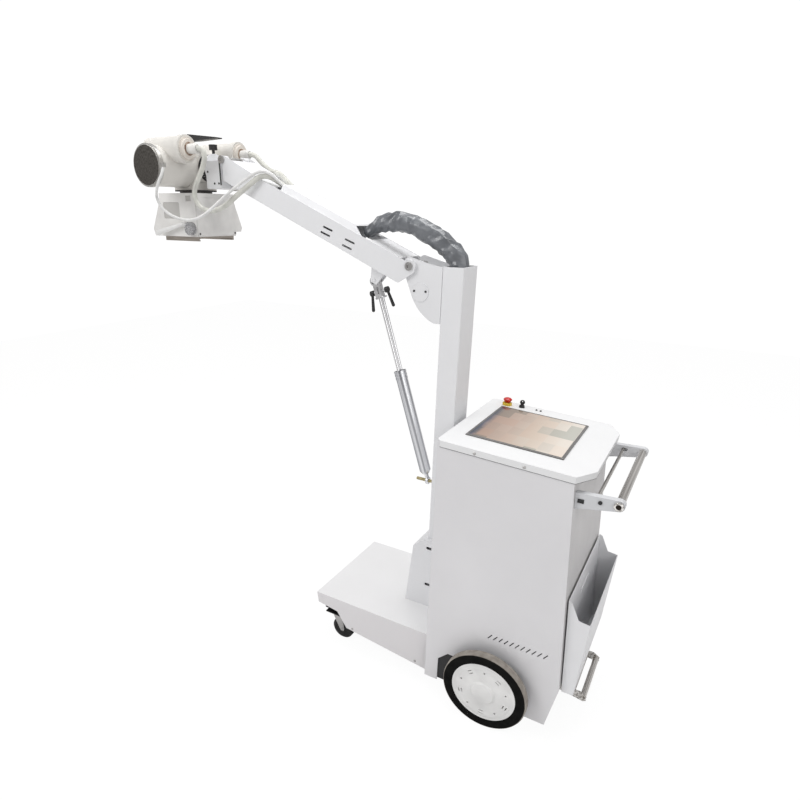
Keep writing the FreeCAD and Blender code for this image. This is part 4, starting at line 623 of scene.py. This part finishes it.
def dress_nodes():
    """Gives every CAD node that stays in view its finish."""
    white = powder_coat("white_powder_coat", WHITE)
    top_white = powder_coat("console_white", CONSOLE_WHITE, 0.97, lip_shadow)
    column_white = powder_coat("column_white", WHITE, 0.94, zinc_stud)
    bracket_white = powder_coat("bracket_white", WHITE, 0.94, bracket_screws)
    bracket_silver = powder_coat("bracket_silver", (0.70, 0.71, 0.73), 0.82)
    beige = cast_paint("housing_paint", BEIGE)
    beige_plastic = cast_paint("collimator_paint", COLLIMATOR_BEIGE, collimator_frame_shade)
    black_paint = powder_coat("black_frame_paint", (0.01, 0.01, 0.011), 0.6)
    steel = brushed_metal("brushed_steel", (0.56, 0.55, 0.54), 0.32, (1.0, 1.0, 0.06))
    aluminium = brushed_metal("machined_aluminium", (0.72, 0.72, 0.73), 0.3, (0.08, 1.0, 1.0))
    tank_grey = powder_coat("tank_grey_paint", (0.45, 0.46, 0.48), 0.85)
    black = moulded_plastic("black_plastic", (0.02, 0.02, 0.021), 0.4)
    white_plastic = moulded_plastic("white_plastic", (0.80, 0.80, 0.79), 0.38)
    grey_plastic = moulded_plastic("grey_plastic", (0.23, 0.22, 0.215), 0.42)
    looks = {
        column_white: ["column"],
        bracket_white: ["column_head_bracket"],
        white: ["column_foot_cover", "front_panel", "cassette_bin", "arm_frame", "arm_top_cover"],
        # Deck: painted light on its top sheet, painted shade on its skirt.
        powder_coat("deck_coat", DECK_LIT_WHITE, 0.96, skirt_painted_shade): ["deck_cover"],
        # Side and rear panel coats: painted shade, as darker copies of the white.
        powder_coat("side_panel_coat", SIDE_SHADED_WHITE): ["left_side_panel", "right_side_panel"],
        powder_coat("rear_panel_coat", REAR_SHADED_WHITE): ["back_panel"],
        top_white: ["console_plate"],
        beige: ["trunnion_ring"],
        cast_paint("tube_paint", BEIGE, tube_port): ["tube_housing"],
        beige_plastic: ["collimator_body"],
        cast_paint("cover_paint", COLLIMATOR_BEIGE, cover_screws): ["collimator_cover"],
        powder_coat("head_bracket_white", WHITE, 0.94, head_bracket_screws_and_slot_shade): ["head_bracket"],
        black_paint: ["chassis_frame"],
        push_bar_metal("push_bar_metal"): ["handle_bar", "release_bar", "foot_bar"],
        steel: ["panel_screws", "arm_bolts", "levelling_rod", "left_caster_fork",
                "right_caster_fork"],
        end_cap_finish("end_cap_finish"): ["end_caps"],
        bracket_silver: ["handle_brackets"],
        aluminium: ["strut_end_block"],
        brushed_metal("rail_metal", (0.52, 0.47, 0.42), 0.4, (0.1, 1.0, 1.0)): ["accessory_rails"],
        strut_metal_finish("strut_tube_metal"): ["strut_tube"],
        tank_grey: ["generator_tank"],
        chrome("chrome_rods"): ["strut_rods"],
        black: ["key", "rocker_switch", "push_button", "front_clamp_lever", "rear_clamp_lever",
                "lock_knob", "paddle_handle"],
        white_plastic: ["left_hub", "right_hub", "collimator_lever"],
        knurled_knob("knurled_knob"): ["collimator_knob"],
        grey_plastic: ["battery_pack"],
        moulded_plastic("caster_rubber", (0.012, 0.012, 0.012), 0.7): ["left_caster_wheel",
                                                                      "right_caster_wheel"],
        wheel_tyre("wheel_tyre"): ["left_tyre", "right_tyre"],
        moulded_plastic("bezel_plastic", (0.16, 0.155, 0.15), 0.25): ["touch_screen"],
        dark_screen("screen_glass"): ["screen_glass"],
        moulded_plastic("stop_red", (0.62, 0.012, 0.01), 0.28): ["stop_button"],
        clear_plate("clear_plate"): ["collimator_window"],
        two_finishes("plug_finishes", -0.757, (0.30, 0.19, 0.125), (0.80, 0.79, 0.76), 0.4,
                     ring_shade): ["cable_plugs"],
        two_finishes("control_finishes", 0.53, (0.72, 0.50, 0.02), (0.02, 0.02, 0.02), 0.3):
            ["console_controls"],
        collar_finish("collar_finish"): ["roll_collar"],
    }
    for material, names in looks.items():
        for name in names:
            set_finish(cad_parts[name], material)


# Cables and sleeve

def curve_points(name, route):
    """Points along the smooth curve that the route's points steer."""
    curve = bpy.data.curves.new(name + "_route", "CURVE")
    curve.dimensions = "3D"
    curve.resolution_u = 10
    spline = curve.splines.new("NURBS")
    spline.points.add(len(route) - 1)
    for point, place in zip(spline.points, route):
        point.co = (*place, 1.0)
    spline.order_u = 3
    spline.use_endpoint_u = True
    holder = bpy.data.objects.new(name + "_route", curve)
    mesh = bpy.data.meshes.new_from_object(holder)
    points = [vertex.co.copy() for vertex in mesh.vertices]
    bpy.data.objects.remove(holder)
    bpy.data.meshes.remove(mesh)
    return points


def rings_along(points):
    """A steady cross-section frame at each point: the place, a side and an up direction."""
    frames = []
    side = None
    for index, point in enumerate(points):
        before = points[max(index - 1, 0)]
        after = points[min(index + 1, len(points) - 1)]
        forward = (after - before).normalized()
        if side is None:
            side = forward.orthogonal().normalized()
        side = (side - forward * side.dot(forward)).normalized()
        frames.append((point, side, forward.cross(side)))
    return frames


def smooth_into(mesh, shape):
    """Puts the shape into the mesh, with smooth shading."""
    shape.to_mesh(mesh)
    shape.free()
    for polygon in mesh.polygons:
        polygon.use_smooth = True


def tube_mesh(name, points, radius_at, segments, material):
    """A closed round skin along the points. radius_at gives the radius at a share of the way."""
    shape = bmesh.new()
    rings = []
    count = len(points) - 1
    for index, (centre, side, up) in enumerate(rings_along(points)):
        ring = []
        for step in range(segments):
            angle = math.tau * step / segments
            outward = side * math.cos(angle) + up * math.sin(angle)
            ring.append(shape.verts.new(centre + outward * radius_at(index / count)))
        rings.append(ring)
    for first, second in zip(rings, rings[1:]):
        for step in range(segments):
            following = (step + 1) % segments
            shape.faces.new((first[step], first[following], second[following], second[step]))
    shape.faces.new(reversed(rings[0]))
    shape.faces.new(rings[-1])
    bmesh.ops.recalc_face_normals(shape, faces=shape.faces)
    mesh = bpy.data.meshes.new(name)
    smooth_into(mesh, shape)
    piece = bpy.data.objects.new(name, mesh)
    bpy.context.scene.collection.objects.link(piece)
    set_finish(piece, material)
    return piece


def path_length(points):
    return sum((b - a).length for a, b in zip(points, points[1:]))


def held_cable(node, route, radius, split, finish):
    """A cable from the tube head by way of the head bracket to the arm, in two lengths."""
    points = curve_points(node, route)
    hold = Vector(route[split])
    nearest = min(range(len(points)), key=lambda index: (points[index] - hold).length)
    lengths = (("loop", points[:nearest + 1], "tube_head", "head_bracket"),
               ("lead", points[nearest:], "head_bracket", "arm"))
    for label, stretch, first, second in lengths:
        piece = tube_mesh(node + "_" + label, stretch, lambda share: radius, CABLE_SIDES, finish)
        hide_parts(node)
        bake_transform(piece)


def evenly_spaced(points, count):
    """Places at equal steps along the line through the points."""
    total = path_length(points)
    places = [points[0].copy()]
    walked = 0.0
    for first, second in zip(points, points[1:]):
        step = (second - first).length
        while len(places) < count and walked + step >= total * len(places) / count:
            share = (total * len(places) / count - walked) / step
            places.append(first.lerp(second, share))
        walked += step
    places.append(points[-1].copy())
    return places


def make_sleeve():
    """Baggy cloth tube: crumpled tight at the arm, in wide creased panels further on."""
    chance = random.Random(7)

    def radius_at(share):
        gathered = max(0.0, 1.0 - share / SLEEVE_GATHERED_SHARE)
        closing = max(0.0, (share - 1.0 + SLEEVE_CLOSING_SHARE) / SLEEVE_CLOSING_SHARE)
        base = SLEEVE_FULL_RADIUS - SLEEVE_GATHERING * gathered ** 1.3 - SLEEVE_CLOSING * closing
        crease = chance.uniform(-SLEEVE_CREASE_DEPTH, SLEEVE_CREASE_RISE) * (1.0 - 0.4 * closing)
        return min(base + crease, SLEEVE_WIDEST_RADIUS)

    points = evenly_spaced(curve_points("cable_sleeve", SLEEVE_ROUTE), SLEEVE_RINGS)
    piece = tube_mesh("sleeve_skin", points, radius_at, SLEEVE_SIDES, sleeve_cloth("sleeve_cloth"))
    shape = bmesh.new()
    shape.from_mesh(piece.data)
    sides = [face for face in shape.faces if len(face.verts) == 4]
    bmesh.ops.triangulate(shape, faces=sides, quad_method="ALTERNATE")
    bmesh.ops.subdivide_edges(shape, edges=shape.edges[:], cuts=3, use_grid_fill=True)
    bmesh.ops.smooth_vert(shape, verts=shape.verts[:], factor=0.45, use_axis_x=True,
                          use_axis_y=True, use_axis_z=True)
    smooth_into(piece.data, shape)
    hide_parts("cable_sleeve")
    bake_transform(piece)


# Stage

def look_matrix(azimuth, elevation, roll, place):
    """Camera pose from compass angle, height angle and roll, all in radians."""
    back = Vector((math.sin(azimuth) * math.cos(elevation), -math.cos(azimuth) * math.cos(elevation),
                   math.sin(elevation)))
    right = (-back).cross(Vector((0, 0, 1))).normalized()
    up = right.cross(-back)
    rolled_right = right * math.cos(roll) + up * math.sin(roll)
    rolled_up = up * math.cos(roll) - right * math.sin(roll)
    turn = Matrix((rolled_right, rolled_up, back)).transposed().to_4x4()
    return Matrix.Translation(place) @ turn


def make_camera():
    data = bpy.data.cameras.new("camera")
    data.lens = CAMERA_LENS
    data.sensor_width = 36.0
    data.shift_x, data.shift_y = CAMERA_SHIFT
    camera = bpy.data.objects.new("camera", data)
    bpy.context.scene.collection.objects.link(camera)
    camera.matrix_world = look_matrix(math.radians(CAMERA_AZIMUTH), math.radians(CAMERA_ELEVATION),
                                      math.radians(CAMERA_ROLL), Vector(CAMERA_PLACE))
    bpy.context.scene.camera = camera


def add_lamp(name, place, aim, size, power):
    data = bpy.data.lights.new(name, "AREA")
    data.shape = "DISK"
    data.size = size
    data.energy = power
    lamp = bpy.data.objects.new(name, data)
    lamp.location = place
    lamp.rotation_euler = (Vector(aim) - Vector(place)).to_track_quat("-Z", "Y").to_euler()
    bpy.context.scene.collection.objects.link(lamp)


def white_for_camera(nodes, links, shader, output, kind, share):
    """Lets the camera and glass see nearly plain white, while other light sees the shader."""
    rays = nodes.new("ShaderNodeLightPath")
    seen = nodes.new("ShaderNodeMath")
    seen.operation = "MAXIMUM"
    links.new(rays.outputs["Is Camera Ray"], seen.inputs[0])
    links.new(rays.outputs["Is Transmission Ray"], seen.inputs[1])
    scaled = nodes.new("ShaderNodeMath")
    scaled.operation = "MULTIPLY"
    scaled.inputs[1].default_value = share
    links.new(seen.outputs["Value"], scaled.inputs[0])
    glow = nodes.new(kind)
    glow.inputs["Color"].default_value = (1, 1, 1, 1)
    glow.inputs["Strength"].default_value = 1.05
    mix = nodes.new("ShaderNodeMixShader")
    links.new(scaled.outputs["Value"], mix.inputs["Fac"])
    links.new(shader.outputs[0], mix.inputs[1])
    links.new(glow.outputs[0], mix.inputs[2])
    links.new(mix.outputs[0], output.inputs["Surface"])


def make_world():
    world = bpy.data.worlds.new("studio")
    world.use_nodes = True
    bpy.context.scene.world = world
    nodes = world.node_tree.nodes
    background = nodes["Background"]
    background.inputs["Color"].default_value = (1.0, 0.985, 0.985, 1)
    background.inputs["Strength"].default_value = 0.49
    white_for_camera(nodes, world.node_tree.links, background, nodes["World Output"],
                     "ShaderNodeBackground", 1.0)


def make_floor():
    mesh = bpy.data.meshes.new("floor")
    reach = 8.0
    mesh.from_pydata([(-reach, -reach, 0), (reach, -reach, 0), (reach, reach, 0), (-reach, reach, 0)],
                     [], [(0, 1, 2, 3)])
    floor = bpy.data.objects.new("floor", mesh)
    bpy.context.scene.collection.objects.link(floor)
    material = new_material("floor_paint", (0.86, 0.86, 0.86), 0.9)
    g = Graph(material)
    g.colour(g.blotches(g.noise(2.0, 3.0), (0.85, 0.85, 0.85), (0.88, 0.88, 0.88)))
    nodes = material.node_tree.nodes
    white_for_camera(nodes, material.node_tree.links, nodes["Principled BSDF"],
                     nodes["Material Output"], "ShaderNodeEmission", FLOOR_WHITE_SHARE)
    set_finish(floor, material)


def main():
    make_camera()
    grey_cable = cable_jacket("cable_jacket", (0.66, 0.66, 0.61))
    pale_cable = cable_jacket("pale_cable_jacket", (0.80, 0.80, 0.79))
    held_cable("near_cable", NEAR_CABLE_ROUTE, CABLE_RADIUS, NEAR_CABLE_SPLIT, grey_cable)
    held_cable("far_cable", FAR_CABLE_ROUTE, CABLE_RADIUS, FAR_CABLE_SPLIT, grey_cable)
    held_cable("thin_cable", THIN_CABLE_ROUTE, THIN_CABLE_RADIUS, THIN_CABLE_SPLIT,
               pale_cable)
    make_sleeve()
    dress_nodes()
    make_world()
    make_floor()
    for name, place, aim, size, power in LAMPS:
        add_lamp(name, place, aim, size, power)
    bpy.context.scene.view_settings.view_transform = "Standard"


main()
